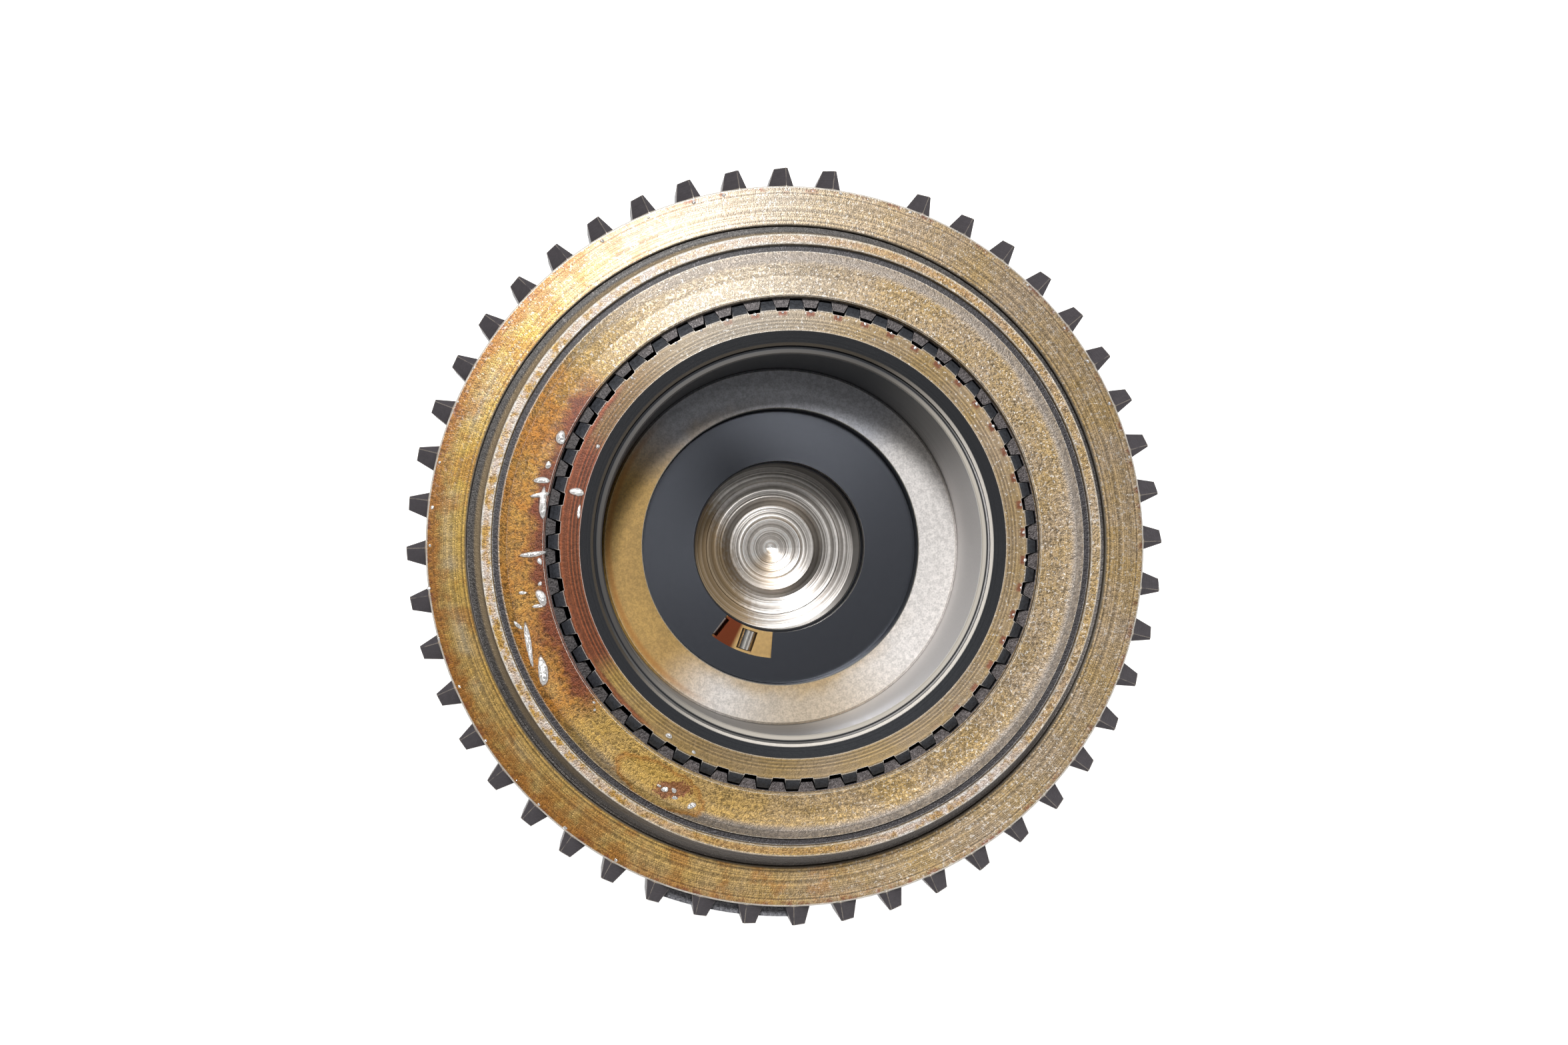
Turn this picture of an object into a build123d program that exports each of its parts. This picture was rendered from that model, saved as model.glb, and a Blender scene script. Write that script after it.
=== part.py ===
"""Planetary gear set with a dog-toothed ring gear: carrier, four planets, sun gear and bearings.

The gear axis is Z. The dog-toothed front faces +Z, and the end of the carrier's output hub
stands on Z = 0. All lengths are millimetres and all angles are degrees.
"""
import os
from math import acos, cos, degrees, pi, radians, sin, tan

from build123d import *

os.makedirs("parts", exist_ok=True)

# ---- gearing -------------------------------------------------------------------------------
MODULE = 2.0
PRESSURE_ANGLE = 20.0
SUN_TEETH = 24
PLANET_TEETH = 18
RING_TEETH = SUN_TEETH + 2 * PLANET_TEETH
PLANETS = 4
FIRST_PLANET_ANGLE = 45.0
CENTRE_DISTANCE = MODULE * (SUN_TEETH + PLANET_TEETH) / 2
ROOT_CLEARANCE = 0.25 * MODULE
FLANK_RELIEF = 0.08                      # taken off each flank, so a mesh has real backlash

# ---- levels along the axis -----------------------------------------------------------------
TOP = 100.0                              # front face of the flange and its hub
RING_FACE = TOP - 10.4                   # front face of the ring gear, behind the raised boss
SNAP_TOP = RING_FACE - 2.0
SNAP_THICKNESS = 1.6
SNAP_GAP = 6.0
SNAP_GAP_ANGLE = 114.0
SHOULDER_TOP = SNAP_TOP - SNAP_THICKNESS - 0.05
TEETH_TOP = SHOULDER_TOP - 1.6           # where the ring gear's internal teeth begin
FLANGE_REAR = TEETH_TOP - 8.0
HUB_SHOULDER_REAR = FLANGE_REAR - 3.3
NECK_TOP = TOP - 31.0                    # end face of the carrier's neck inside the hub
HUB_REAR = TOP - 42.0
PLATE_TOP = HUB_REAR - 1.7               # front face of the carrier's front plate
PLATE_THICKNESS = 6.5
PLANET_TOP = PLATE_TOP - PLATE_THICKNESS - 1.2
PLANET_WIDTH = 22.0
PLANET_BOTTOM = PLANET_TOP - PLANET_WIDTH
REAR_PLATE_TOP = PLANET_BOTTOM - 1.2
REAR_PLATE_THICKNESS = 8.6
REAR_PLATE_BOTTOM = REAR_PLATE_TOP - REAR_PLATE_THICKNESS
RING_REAR = REAR_PLATE_TOP - 1.0
SUN_TOP = TOP - 40.0
SUN_TEETH_TOP = SUN_TOP - 4.0
SUN_TEETH_BOTTOM = REAR_PLATE_TOP + 0.4
SUN_END = 2.0

# ---- ring gear and its dog teeth -----------------------------------------------------------
DOG_PLACES = 48
DOG_PITCH = 360 / DOG_PLACES
FIRST_DOG_ANGLE = 83.85                  # the place before this one has no tooth
DOG_ROOT = 71.3
DOG_TIP = 75.0
DOG_LENGTH = 15.6
DOG_BASE_WIDTH = 5.0
DOG_TIP_WIDTH = 2.65
DOG_RIDGE_OFFSET = -0.95                 # the pointed end's ridge lies off the tooth's middle
DOG_FACET_ANGLE = 35.0
DOG_RIDGE_FALL = 4.0
RIDGE_REACH = 71.9                       # the flat face runs out along each ridge to here
WEB_FIRST_ANGLE = -111.15                # three tooth spaces here are closed by a set-back web
WEB_SPAN = 22.5
WEB_TIP = 74.0
WEB_TOP = RING_FACE - 5.2
RING_OUTER = 70.6
COUNTERBORE = 63.5
SNAP_GROOVE = 64.6
SNAP_OUTER = 64.4
SNAP_INNER = 62.2

# ---- flange, hub and bush ------------------------------------------------------------------
BOSS_EDGE = 60.1
BOSS_FOOT = 62.7
BOSS_FILLET = BOSS_FOOT - BOSS_EDGE
BOSS_SLOT = 0.9                          # depth of the slot round the boss's foot
FLANGE_SNAP_GROOVE = 61.0                # deep enough to take the closed-up ring on the way in
GROOVE_OUTER = 58.1
GROOVE_INNER = 56.7
GROOVE_DEPTH = 1.3
SPLINE_TEETH = 52
SPLINE_PHASE = -3.93                     # middle of one internal tooth
SPLINE_MOUTH = 48.0
FLANGE_SPLINE_ROOT = 47.75
FLANGE_SPLINE_TIP = 46.05
HUB_SPLINE_TIP = 47.35
HUB_SPLINE_ROOT = 45.1
SPLINE_RECESS = 1.9
HUB_FACE_EDGE = 45.35
HUB_MOUTH = 41.35
HUB_SEAT = 38.75
HUB_MOUTH_DEPTH = 3.0
HUB_BODY = 46.0
HUB_SHOULDER = 50.0
BUSH_BORE = 37.12
LOCK_RING_HEIGHT = TOP - 13.0
LOCK_WIRE = 1.2
LOCK_RING_RADIUS = 46.7

# ---- carrier -------------------------------------------------------------------------------
NECK_OUTER = 37.05
NECK_BORE = 28.7
CARRIER_OUTER = 56.5
PIN_RADIUS = 9.0
PIN_HOLE_DEPTH = 5.0
PLANET_BORE = 12.0
POST_INNER = 31.0
POST_PLANET_CLEARANCE = 1.3
SCREW_CIRCLE = 49.0
SCREW_RADIUS = 3.0
SCREW_LENGTH = 22.0
SCREW_HEAD_RADIUS = 5.2
OUTPUT_TEETH = 32
OUTPUT_TIP = 32.6
OUTPUT_ROOT = 30.3
CARRIER_BUSH_OUTER = 22.5
JOURNAL_BORE = 20.06
JOURNAL = 20.0

# ---- sun gear ------------------------------------------------------------------------------
COLLAR = 23.4
PILOT_BORE = 17.5
PILOT_DEPTH = 12.0
PILOT_STEPS = ((14.6, 0.3), (14.4, 0.7), (11.0, 1.4), (9.2, 3.2), (6.9, 3.5), (6.4, 4.1), (0, 6.2))
INPUT_SPLINE_TEETH = 22
INPUT_MAJOR = 12.6
INPUT_MINOR = 11.2
INPUT_DEPTH = 32.0

# ---- rolling bearings ----------------------------------------------------------------------
NEEDLES = 20
NEEDLE_RADIUS = 1.36
FRONT_INNER = 18.0
FRONT_OUTER = COLLAR
FRONT_ROLLERS = 18
FRONT_ROLLER_RADIUS = 1.5
FIRST_FRONT_ROLLER = -9.0                # brings one roller into the outer race's window
RACE_THICKNESS = 0.8
OUTER_RACE = 28.6                        # fits in the neck's bore
OUTER_RACE_THICKNESS = 1.0
WINDOW_ANGLE = -111.0                    # one cut-out in the outer race shows a roller
WINDOW_SPAN = 33.0
REAR_ROLLERS = 30
REAR_ROLLER_RADIUS = 1.0
REAR_RACE_INNER = 20.4
REAR_RACE_OUTER = 27.2


def polar(radius, angle):
    """Point in the XY plane at a radius and an angle in degrees."""
    return (radius * cos(radians(angle)), radius * sin(radians(angle)))


def involute(angle):
    """Involute function of an angle in radians."""
    return tan(angle) - angle


def involute_flank(teeth, inner, outer, relief, steps=6):
    """(radius, half angle) pairs up one involute flank, widened by a positive relief."""
    pitch = MODULE * teeth / 2
    base = pitch * cos(radians(PRESSURE_ANGLE))
    half_at_pitch = pi / (2 * teeth) + relief / pitch
    flank = []
    low = max(inner, base)
    for step in range(steps):
        radius = low + (outer - low) * step / (steps - 1)
        turn = involute(radians(PRESSURE_ANGLE)) - involute(acos(min(1.0, base / radius)))
        flank.append((radius, degrees(half_at_pitch + turn)))
    if inner < base:
        flank.insert(0, (inner, flank[0][1]))
    return flank


def straight_flank(inner, outer, inner_width, outer_width):
    """(radius, half angle) pairs of a straight-sided spline tooth."""
    return [(inner, degrees(inner_width / 2 / inner)), (outer, degrees(outer_width / 2 / outer))]


def toothed_outline(teeth, phase, flank):
    """Closed outline of teeth whose flanks climb from the first radius to the last."""
    pitch = 360 / teeth
    inner, foot = flank[0]
    outer, crest = flank[-1]
    start, half_start = flank[1]
    with BuildLine() as outline:
        for tooth in range(teeth):
            middle = phase + tooth * pitch
            Line(polar(inner, middle - foot), polar(start, middle - half_start))
            if start < outer:
                Spline(*[polar(radius, middle - half) for radius, half in flank[1:]])
                Spline(*[polar(radius, middle + half) for radius, half in reversed(flank[1:])])
            Line(polar(start, middle + half_start), polar(inner, middle + foot))
            ThreePointArc(polar(outer, middle - crest), polar(outer, middle), polar(outer, middle + crest))
            ThreePointArc(
                polar(inner, middle + foot),
                polar(inner, middle + pitch / 2),
                polar(inner, middle + pitch - foot),
            )
    return outline.line


def toothed_face(teeth, phase, flank):
    """Face inside a toothed outline."""
    with BuildSketch() as face:
        make_face(toothed_outline(teeth, phase, flank).edges())
    return face.sketch


def gear_face(teeth, phase):
    """Face of an external spur gear of this set."""
    pitch = MODULE * teeth / 2
    flank = involute_flank(teeth, pitch - MODULE - ROOT_CLEARANCE, pitch + MODULE, -FLANK_RELIEF)
    return toothed_face(teeth, phase, flank)


def half_section(*corners):
    """Closed face in the XZ plane through (radius, height) corners, ready to be revolved."""
    with BuildSketch(Plane.XZ) as section:
        with BuildLine():
            Polyline(*corners, close=True)
        make_face()
    return section.sketch


def planet_angle(index):
    """Direction of a planet's axis."""
    return FIRST_PLANET_ANGLE + index * 360 / PLANETS


def finish(part, name):
    """Name a finished piece and write its STEP file."""
    part.label = name
    export_step(part, f"parts/{name}.step")


# ---- ring gear -----------------------------------------------------------------------------
RING_PITCH = MODULE * RING_TEETH / 2
ring_flank = involute_flank(
    RING_TEETH, RING_PITCH - MODULE, RING_PITCH + MODULE + ROOT_CLEARANCE, FLANK_RELIEF
)
RING_PHASE = FIRST_PLANET_ANGLE - 180 / RING_TEETH      # middle of one tooth space
ring_space = toothed_face(RING_TEETH, RING_PHASE, ring_flank)

with BuildPart() as dog_tooth:
    with BuildSketch(Plane.XY.offset(RING_FACE - DOG_LENGTH)):
        Polygon(
            (DOG_ROOT - 1.0, -DOG_BASE_WIDTH / 2 - 0.3),
            (DOG_ROOT, -DOG_BASE_WIDTH / 2),
            (DOG_TIP, -DOG_TIP_WIDTH / 2),
            (DOG_TIP, DOG_TIP_WIDTH / 2),
            (DOG_ROOT, DOG_BASE_WIDTH / 2),
            (DOG_ROOT - 1.0, DOG_BASE_WIDTH / 2 + 0.3),
            align=None,
        )
    extrude(amount=DOG_LENGTH)
    roof_plane = Plane(
        origin=(RIDGE_REACH, DOG_RIDGE_OFFSET, RING_FACE),
        x_dir=(0, 1, 0),
        z_dir=(cos(radians(DOG_RIDGE_FALL)), 0, -sin(radians(DOG_RIDGE_FALL))),
    )
    facet_drop = 6.0 * tan(radians(DOG_FACET_ANGLE))
    with BuildSketch(roof_plane):
        Polygon((0, 0), (-6.0, -facet_drop), (-6.0, -25.0), (6.0, -25.0), (6.0, -facet_drop), align=None)
    extrude(amount=8.0, both=True, mode=Mode.INTERSECT)

with BuildPart() as ring_gear:
    turned = half_section(
        (RING_PITCH - MODULE, RING_REAR),
        (RING_OUTER - 1.0, RING_REAR),
        (RING_OUTER, RING_REAR + 1.0),
        (RING_OUTER, RING_FACE - DOG_LENGTH - 1.2),
        (DOG_ROOT, RING_FACE - DOG_LENGTH - 0.5),
        (DOG_ROOT, RING_FACE - 0.25),
        (DOG_ROOT - 0.25, RING_FACE),
        (COUNTERBORE + 0.2, RING_FACE),
        (COUNTERBORE, RING_FACE - 0.2),
        (COUNTERBORE, SNAP_TOP + 0.05),
        (SNAP_GROOVE, SNAP_TOP + 0.05),
        (SNAP_GROOVE, SNAP_TOP - SNAP_THICKNESS - 0.05),
        (COUNTERBORE, SNAP_TOP - SNAP_THICKNESS - 0.05),
        (COUNTERBORE, TEETH_TOP),
        (RING_PITCH - MODULE, TEETH_TOP),
    )
    revolve(turned, axis=Axis.Z)
    with BuildSketch(Plane.XY.offset(RING_REAR)):
        add(ring_space)
    extrude(amount=TEETH_TOP - RING_REAR, mode=Mode.SUBTRACT)
    with PolarLocations(0, DOG_PLACES - 1, FIRST_DOG_ANGLE, (DOG_PLACES - 1) * DOG_PITCH, endpoint=False):
        add(dog_tooth.part)
    with BuildSketch(Plane.XY.offset(RING_FACE - DOG_LENGTH)):
        with BuildLine():
            CenterArc((0, 0), WEB_TIP, WEB_FIRST_ANGLE, WEB_SPAN)
            CenterArc((0, 0), DOG_ROOT - 0.5, WEB_FIRST_ANGLE, WEB_SPAN)
            Line(polar(DOG_ROOT - 0.5, WEB_FIRST_ANGLE), polar(WEB_TIP, WEB_FIRST_ANGLE))
            Line(
                polar(DOG_ROOT - 0.5, WEB_FIRST_ANGLE + WEB_SPAN),
                polar(WEB_TIP, WEB_FIRST_ANGLE + WEB_SPAN),
            )
        make_face()
    extrude(amount=WEB_TOP - RING_FACE + DOG_LENGTH)
finish(ring_gear.part, "ring_gear")

# ---- flange that closes the ring gear's front ----------------------------------------------
flange_spline = straight_flank(FLANGE_SPLINE_TIP, FLANGE_SPLINE_ROOT, 3.35, 2.35)
hub_spline = straight_flank(HUB_SPLINE_ROOT, HUB_SPLINE_TIP, 3.2, 2.3)
coupling_flank = involute_flank(
    RING_TEETH, RING_PITCH - MODULE - 0.4, RING_PITCH + MODULE, -FLANK_RELIEF
)
hub_tooth_angle = SPLINE_PHASE + 180 / SPLINE_TEETH
spline_space = toothed_face(SPLINE_TEETH, hub_tooth_angle, flange_spline)
hub_teeth = toothed_face(SPLINE_TEETH, hub_tooth_angle, hub_spline)
coupling_face = toothed_face(RING_TEETH, RING_PHASE, coupling_flank)

with BuildPart() as ring_gear_flange:
    with BuildSketch(Plane.XZ):
        with BuildLine():
            Polyline(
                (BOSS_EDGE, RING_FACE + BOSS_FILLET),
                (BOSS_EDGE, TOP - 0.2),
                (BOSS_EDGE - 0.2, TOP),
                (GROOVE_OUTER + 0.15, TOP),
                (GROOVE_OUTER, TOP - 0.15),
                (GROOVE_OUTER - 0.1, TOP - GROOVE_DEPTH),
                (GROOVE_INNER + 0.1, TOP - GROOVE_DEPTH),
                (GROOVE_INNER, TOP - 0.4),
                (GROOVE_INNER - 1.5, TOP - 0.05),
                (52.0, TOP - 0.3),
                (SPLINE_MOUTH + 0.3, TOP - 0.05),
                (SPLINE_MOUTH, TOP - 0.3),
                (SPLINE_MOUTH, TOP - SPLINE_RECESS),
                (FLANGE_SPLINE_TIP, TOP - SPLINE_RECESS),
                (FLANGE_SPLINE_TIP, FLANGE_REAR),
                (RING_PITCH + MODULE, FLANGE_REAR),
                (RING_PITCH + MODULE, TEETH_TOP + 0.05),
                (COUNTERBORE - 0.2, TEETH_TOP + 0.05),
                (COUNTERBORE - 0.2, SHOULDER_TOP),
                (FLANGE_SNAP_GROOVE, SHOULDER_TOP),
                (FLANGE_SNAP_GROOVE, SNAP_TOP + 0.05),
                (COUNTERBORE - 0.2, SNAP_TOP + 0.05),
                (COUNTERBORE - 0.2, RING_FACE - BOSS_SLOT),
                (BOSS_FOOT, RING_FACE - BOSS_SLOT),
                (BOSS_FOOT, RING_FACE),
            )
            RadiusArc((BOSS_FOOT, RING_FACE), (BOSS_EDGE, RING_FACE + BOSS_FILLET), BOSS_FILLET)
        make_face()
    revolve(axis=Axis.Z)
    with BuildSketch(Plane.XY.offset(FLANGE_REAR)):
        Circle(COUNTERBORE)
        add(coupling_face, mode=Mode.SUBTRACT)
    extrude(amount=TEETH_TOP + 0.05 - FLANGE_REAR, mode=Mode.SUBTRACT)
    with BuildSketch(Plane.XY.offset(FLANGE_REAR)):
        add(spline_space)
    extrude(amount=TOP - FLANGE_REAR, mode=Mode.SUBTRACT)
    with BuildSketch(Plane.XZ):
        with Locations((LOCK_RING_RADIUS, LOCK_RING_HEIGHT)):
            Rectangle(2.4, LOCK_WIRE + 0.1)
    revolve(axis=Axis.Z, mode=Mode.SUBTRACT)
finish(ring_gear_flange.part, "ring_gear_flange")

with BuildPart() as flange_snap_ring:
    with BuildSketch(Plane.XY.offset(SNAP_TOP - SNAP_THICKNESS)):
        Circle(SNAP_OUTER)
        Circle(SNAP_INNER, mode=Mode.SUBTRACT)
        with PolarLocations(COUNTERBORE, 1, SNAP_GAP_ANGLE):
            Rectangle(8, SNAP_GAP, mode=Mode.SUBTRACT)
    extrude(amount=SNAP_THICKNESS)
finish(flange_snap_ring.part, "flange_snap_ring")

# ---- hub splined into the flange, with its bush --------------------------------------------
with BuildPart() as ring_gear_hub:
    turned = half_section(
        (HUB_MOUTH, TOP),
        (HUB_FACE_EDGE, TOP),
        (HUB_SPLINE_TIP, TOP - 1.7),
        (HUB_SPLINE_TIP, FLANGE_REAR - 0.05),
        (HUB_SHOULDER, FLANGE_REAR - 0.05),
        (HUB_SHOULDER, HUB_SHOULDER_REAR),
        (HUB_BODY, HUB_SHOULDER_REAR - 1.0),
        (HUB_BODY, HUB_REAR + 0.5),
        (HUB_BODY - 0.5, HUB_REAR),
        (HUB_SEAT, HUB_REAR),
        (HUB_SEAT, TOP - HUB_MOUTH_DEPTH),
    )
    revolve(turned, axis=Axis.Z)
    with BuildSketch(Plane.XY.offset(FLANGE_REAR)):
        Circle(HUB_SPLINE_TIP + 1)
        add(hub_teeth, mode=Mode.SUBTRACT)
    extrude(amount=TOP - FLANGE_REAR, mode=Mode.SUBTRACT)
    with BuildSketch(Plane.XZ):
        with Locations((LOCK_RING_RADIUS, LOCK_RING_HEIGHT)):
            Rectangle(2.4, LOCK_WIRE + 0.1)
    revolve(axis=Axis.Z, mode=Mode.SUBTRACT)
finish(ring_gear_hub.part, "ring_gear_hub")

with BuildPart() as hub_lock_ring:
    with BuildSketch(Plane.XZ):
        with Locations((LOCK_RING_RADIUS, LOCK_RING_HEIGHT)):
            Circle(LOCK_WIRE / 2)
    revolve(axis=Axis.Z, revolution_arc=345)
finish(hub_lock_ring.part, "hub_lock_ring")

with BuildPart() as hub_bush:
    turned = half_section(
        (BUSH_BORE, HUB_REAR + 0.6),
        (BUSH_BORE + 0.3, HUB_REAR + 0.2),
        (HUB_SEAT - 0.01, HUB_REAR + 0.2),
        (HUB_SEAT - 0.01, TOP - HUB_MOUTH_DEPTH - 0.9),
        (HUB_SEAT - 0.6, TOP - HUB_MOUTH_DEPTH - 0.4),
        (BUSH_BORE + 0.25, TOP - HUB_MOUTH_DEPTH - 0.4),
        (BUSH_BORE, TOP - HUB_MOUTH_DEPTH - 0.65),
    )
    revolve(turned, axis=Axis.Z)
finish(hub_bush.part, "hub_bush")

with BuildPart() as hub_thrust_washer:
    with BuildSketch(Plane.XY.offset(PLATE_TOP + 0.05)):
        Circle(HUB_BODY - 0.4)
        Circle(NECK_OUTER + 0.6, mode=Mode.SUBTRACT)
        with PolarLocations(HUB_BODY - 0.4, 3):
            Circle(1.6, mode=Mode.SUBTRACT)
    extrude(amount=1.5)
finish(hub_thrust_washer.part, "hub_thrust_washer")

# ---- carrier -------------------------------------------------------------------------------
with BuildPart() as carrier_front_plate:
    turned = half_section(
        (NECK_BORE, PLATE_TOP - PLATE_THICKNESS + 0.5),
        (NECK_BORE + 0.5, PLATE_TOP - PLATE_THICKNESS),
        (CARRIER_OUTER, PLATE_TOP - PLATE_THICKNESS),
        (CARRIER_OUTER, PLATE_TOP - 0.8),
        (CARRIER_OUTER - 0.8, PLATE_TOP),
        (NECK_OUTER, PLATE_TOP),
        (NECK_OUTER, NECK_TOP - 0.5),
        (NECK_OUTER - 0.5, NECK_TOP),
        (NECK_BORE + 0.15, NECK_TOP),
        (NECK_BORE, NECK_TOP - 0.15),
    )
    revolve(turned, axis=Axis.Z)
    with BuildSketch(Plane.XY.offset(PLATE_TOP - PLATE_THICKNESS)):
        with PolarLocations(CENTRE_DISTANCE, PLANETS, FIRST_PLANET_ANGLE):
            Circle(PIN_RADIUS + 0.02)
    extrude(amount=PIN_HOLE_DEPTH, mode=Mode.SUBTRACT)
    with Locations(Plane.XY.offset(PLATE_TOP)):
        with PolarLocations(SCREW_CIRCLE, PLANETS):
            CounterSinkHole(
                SCREW_RADIUS + 0.2, SCREW_HEAD_RADIUS + 0.4, depth=PLATE_THICKNESS, counter_sink_angle=90
            )
finish(carrier_front_plate.part, "carrier_front_plate")

output_teeth = toothed_face(OUTPUT_TEETH, 0, straight_flank(OUTPUT_ROOT, OUTPUT_TIP, 3.7, 2.5))
with BuildPart() as carrier_rear_plate:
    turned = half_section(
        (CARRIER_BUSH_OUTER, 0),
        (OUTPUT_TIP - 1.0, 0),
        (OUTPUT_TIP, 1.0),
        (OUTPUT_TIP, REAR_PLATE_BOTTOM),
        (CARRIER_OUTER - 0.8, REAR_PLATE_BOTTOM),
        (CARRIER_OUTER, REAR_PLATE_BOTTOM + 0.8),
        (CARRIER_OUTER, REAR_PLATE_TOP),
        (REAR_RACE_OUTER + 0.3, REAR_PLATE_TOP),
        (REAR_RACE_OUTER + 0.3, REAR_PLATE_TOP - 3.6),
        (CARRIER_BUSH_OUTER, REAR_PLATE_TOP - 3.6),
    )
    revolve(turned, axis=Axis.Z)
    with BuildSketch(Plane.XY.offset(REAR_PLATE_TOP)):
        Circle(CARRIER_OUTER)
        Circle(POST_INNER, mode=Mode.SUBTRACT)
        with PolarLocations(CENTRE_DISTANCE, PLANETS, FIRST_PLANET_ANGLE):
            Circle(MODULE * (PLANET_TEETH / 2 + 1) + POST_PLANET_CLEARANCE, mode=Mode.SUBTRACT)
    extrude(amount=PLATE_TOP - PLATE_THICKNESS - REAR_PLATE_TOP)
    with BuildSketch(Plane.XY.offset(REAR_PLATE_BOTTOM)):
        with PolarLocations(CENTRE_DISTANCE, PLANETS, FIRST_PLANET_ANGLE):
            Circle(PIN_RADIUS + 0.02)
    extrude(amount=REAR_PLATE_THICKNESS, mode=Mode.SUBTRACT)
    with BuildSketch(Plane.XY):
        Circle(OUTPUT_TIP + 1)
        add(output_teeth, mode=Mode.SUBTRACT)
    extrude(amount=REAR_PLATE_BOTTOM - 2.5, mode=Mode.SUBTRACT)
    with Locations(Plane.XY.offset(PLATE_TOP - PLATE_THICKNESS)):
        with PolarLocations(SCREW_CIRCLE, PLANETS):
            Hole(SCREW_RADIUS, depth=SCREW_LENGTH - PLATE_THICKNESS + 2)
    for index in range(PLANETS):
        lock_hole = Plane(origin=(0, 0, 0), x_dir=(0, 0, 1), z_dir=(*polar(1, planet_angle(index)), 0))
        with BuildSketch(lock_hole.offset(CARRIER_OUTER - 11)):
            with Locations((REAR_PLATE_BOTTOM + REAR_PLATE_THICKNESS / 2, 0)):
                Circle(1.5)
        extrude(amount=12, mode=Mode.SUBTRACT)
finish(carrier_rear_plate.part, "carrier_rear_plate")

with BuildPart() as carrier_bush:
    turned = half_section(
        (JOURNAL_BORE, 1.0),
        (CARRIER_BUSH_OUTER - 0.01, 1.0),
        (CARRIER_BUSH_OUTER - 0.01, REAR_PLATE_TOP - 3.8),
        (JOURNAL_BORE, REAR_PLATE_TOP - 3.8),
    )
    revolve(turned, axis=Axis.Z)
finish(carrier_bush.part, "carrier_bush")

with BuildPart() as carrier_screw:
    head_top = PLATE_TOP - 0.3
    turned = half_section(
        (0, head_top),
        (SCREW_HEAD_RADIUS, head_top),
        (SCREW_RADIUS - 0.05, head_top - SCREW_HEAD_RADIUS + SCREW_RADIUS),
        (SCREW_RADIUS - 0.05, PLATE_TOP - SCREW_LENGTH),
        (0, PLATE_TOP - SCREW_LENGTH),
    )
    revolve(turned, axis=Axis.Z)
    with BuildSketch(Plane.XY.offset(head_top)):
        RegularPolygon(2.3, 6)
    extrude(amount=-2.2, mode=Mode.SUBTRACT)

with BuildPart() as carrier_screws:
    with PolarLocations(SCREW_CIRCLE, PLANETS):
        add(carrier_screw.part)
finish(carrier_screws.part, "carrier_screws")

# ---- planets, their pins, washers and needle rollers ---------------------------------------
for side, height in (("front", PLANET_TOP + 0.1), ("rear", REAR_PLATE_TOP + 0.1)):
    with BuildPart() as washers:
        with BuildSketch(Plane.XY.offset(height)):
            with PolarLocations(CENTRE_DISTANCE, PLANETS, FIRST_PLANET_ANGLE):
                Circle(PLANET_BORE + 2.6)
            with PolarLocations(CENTRE_DISTANCE, PLANETS, FIRST_PLANET_ANGLE):
                Circle(PIN_RADIUS + 0.15, mode=Mode.SUBTRACT)
        extrude(amount=1.0)
    finish(washers.part, f"planet_washers_{side}")

LOCK_PIN_HEIGHT = REAR_PLATE_BOTTOM + REAR_PLATE_THICKNESS / 2
with BuildPart() as pin_lock_pins:
    for index in range(PLANETS):
        lock_axis = Plane(origin=(0, 0, 0), x_dir=(0, 0, 1), z_dir=(*polar(1, planet_angle(index)), 0))
        with BuildSketch(lock_axis.offset(CARRIER_OUTER - 10.5)):
            with Locations((LOCK_PIN_HEIGHT, 0)):
                Circle(1.45)
                Circle(0.8, mode=Mode.SUBTRACT)
        extrude(amount=10)
finish(pin_lock_pins.part, "pin_lock_pins")

for index in range(PLANETS):
    direction = planet_angle(index)
    centre = polar(CENTRE_DISTANCE, direction)
    lock_axis = Plane(origin=(0, 0, 0), x_dir=(0, 0, 1), z_dir=(*polar(1, direction), 0))

    with BuildPart() as planet_pin:
        with BuildSketch(Plane.XY.offset(REAR_PLATE_BOTTOM + 0.3)):
            with Locations(centre):
                Circle(PIN_RADIUS)
        extrude(amount=PLATE_TOP - PLATE_THICKNESS + PIN_HOLE_DEPTH - 0.1 - REAR_PLATE_BOTTOM - 0.3)
        chamfer(planet_pin.edges().filter_by(GeomType.CIRCLE), 0.4)
        with BuildSketch(lock_axis.offset(CARRIER_OUTER - 11)):
            with Locations((LOCK_PIN_HEIGHT, 0)):
                Circle(1.5)
        extrude(amount=12, mode=Mode.SUBTRACT)
    finish(planet_pin.part, f"planet_pin_{index + 1}")

    # the sun has a tooth in each planet's direction, so each planet meets it with a space
    planet_face = gear_face(PLANET_TEETH, direction + 180 + 180 / PLANET_TEETH)
    with BuildPart() as planet_gear:
        with BuildSketch(Plane.XY.offset(PLANET_BOTTOM)):
            with Locations(centre):
                add(planet_face)
                Circle(PLANET_BORE, mode=Mode.SUBTRACT)
        extrude(amount=PLANET_WIDTH)
    finish(planet_gear.part, f"planet_gear_{index + 1}")

    with BuildPart() as planet_needles:
        with BuildSketch(Plane.XY.offset(PLANET_BOTTOM + 0.4)):
            with Locations(centre):
                with PolarLocations((PIN_RADIUS + PLANET_BORE) / 2, NEEDLES):
                    Circle(NEEDLE_RADIUS)
        extrude(amount=PLANET_WIDTH - 0.8)
    finish(planet_needles.part, f"planet_needles_{index + 1}")

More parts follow.
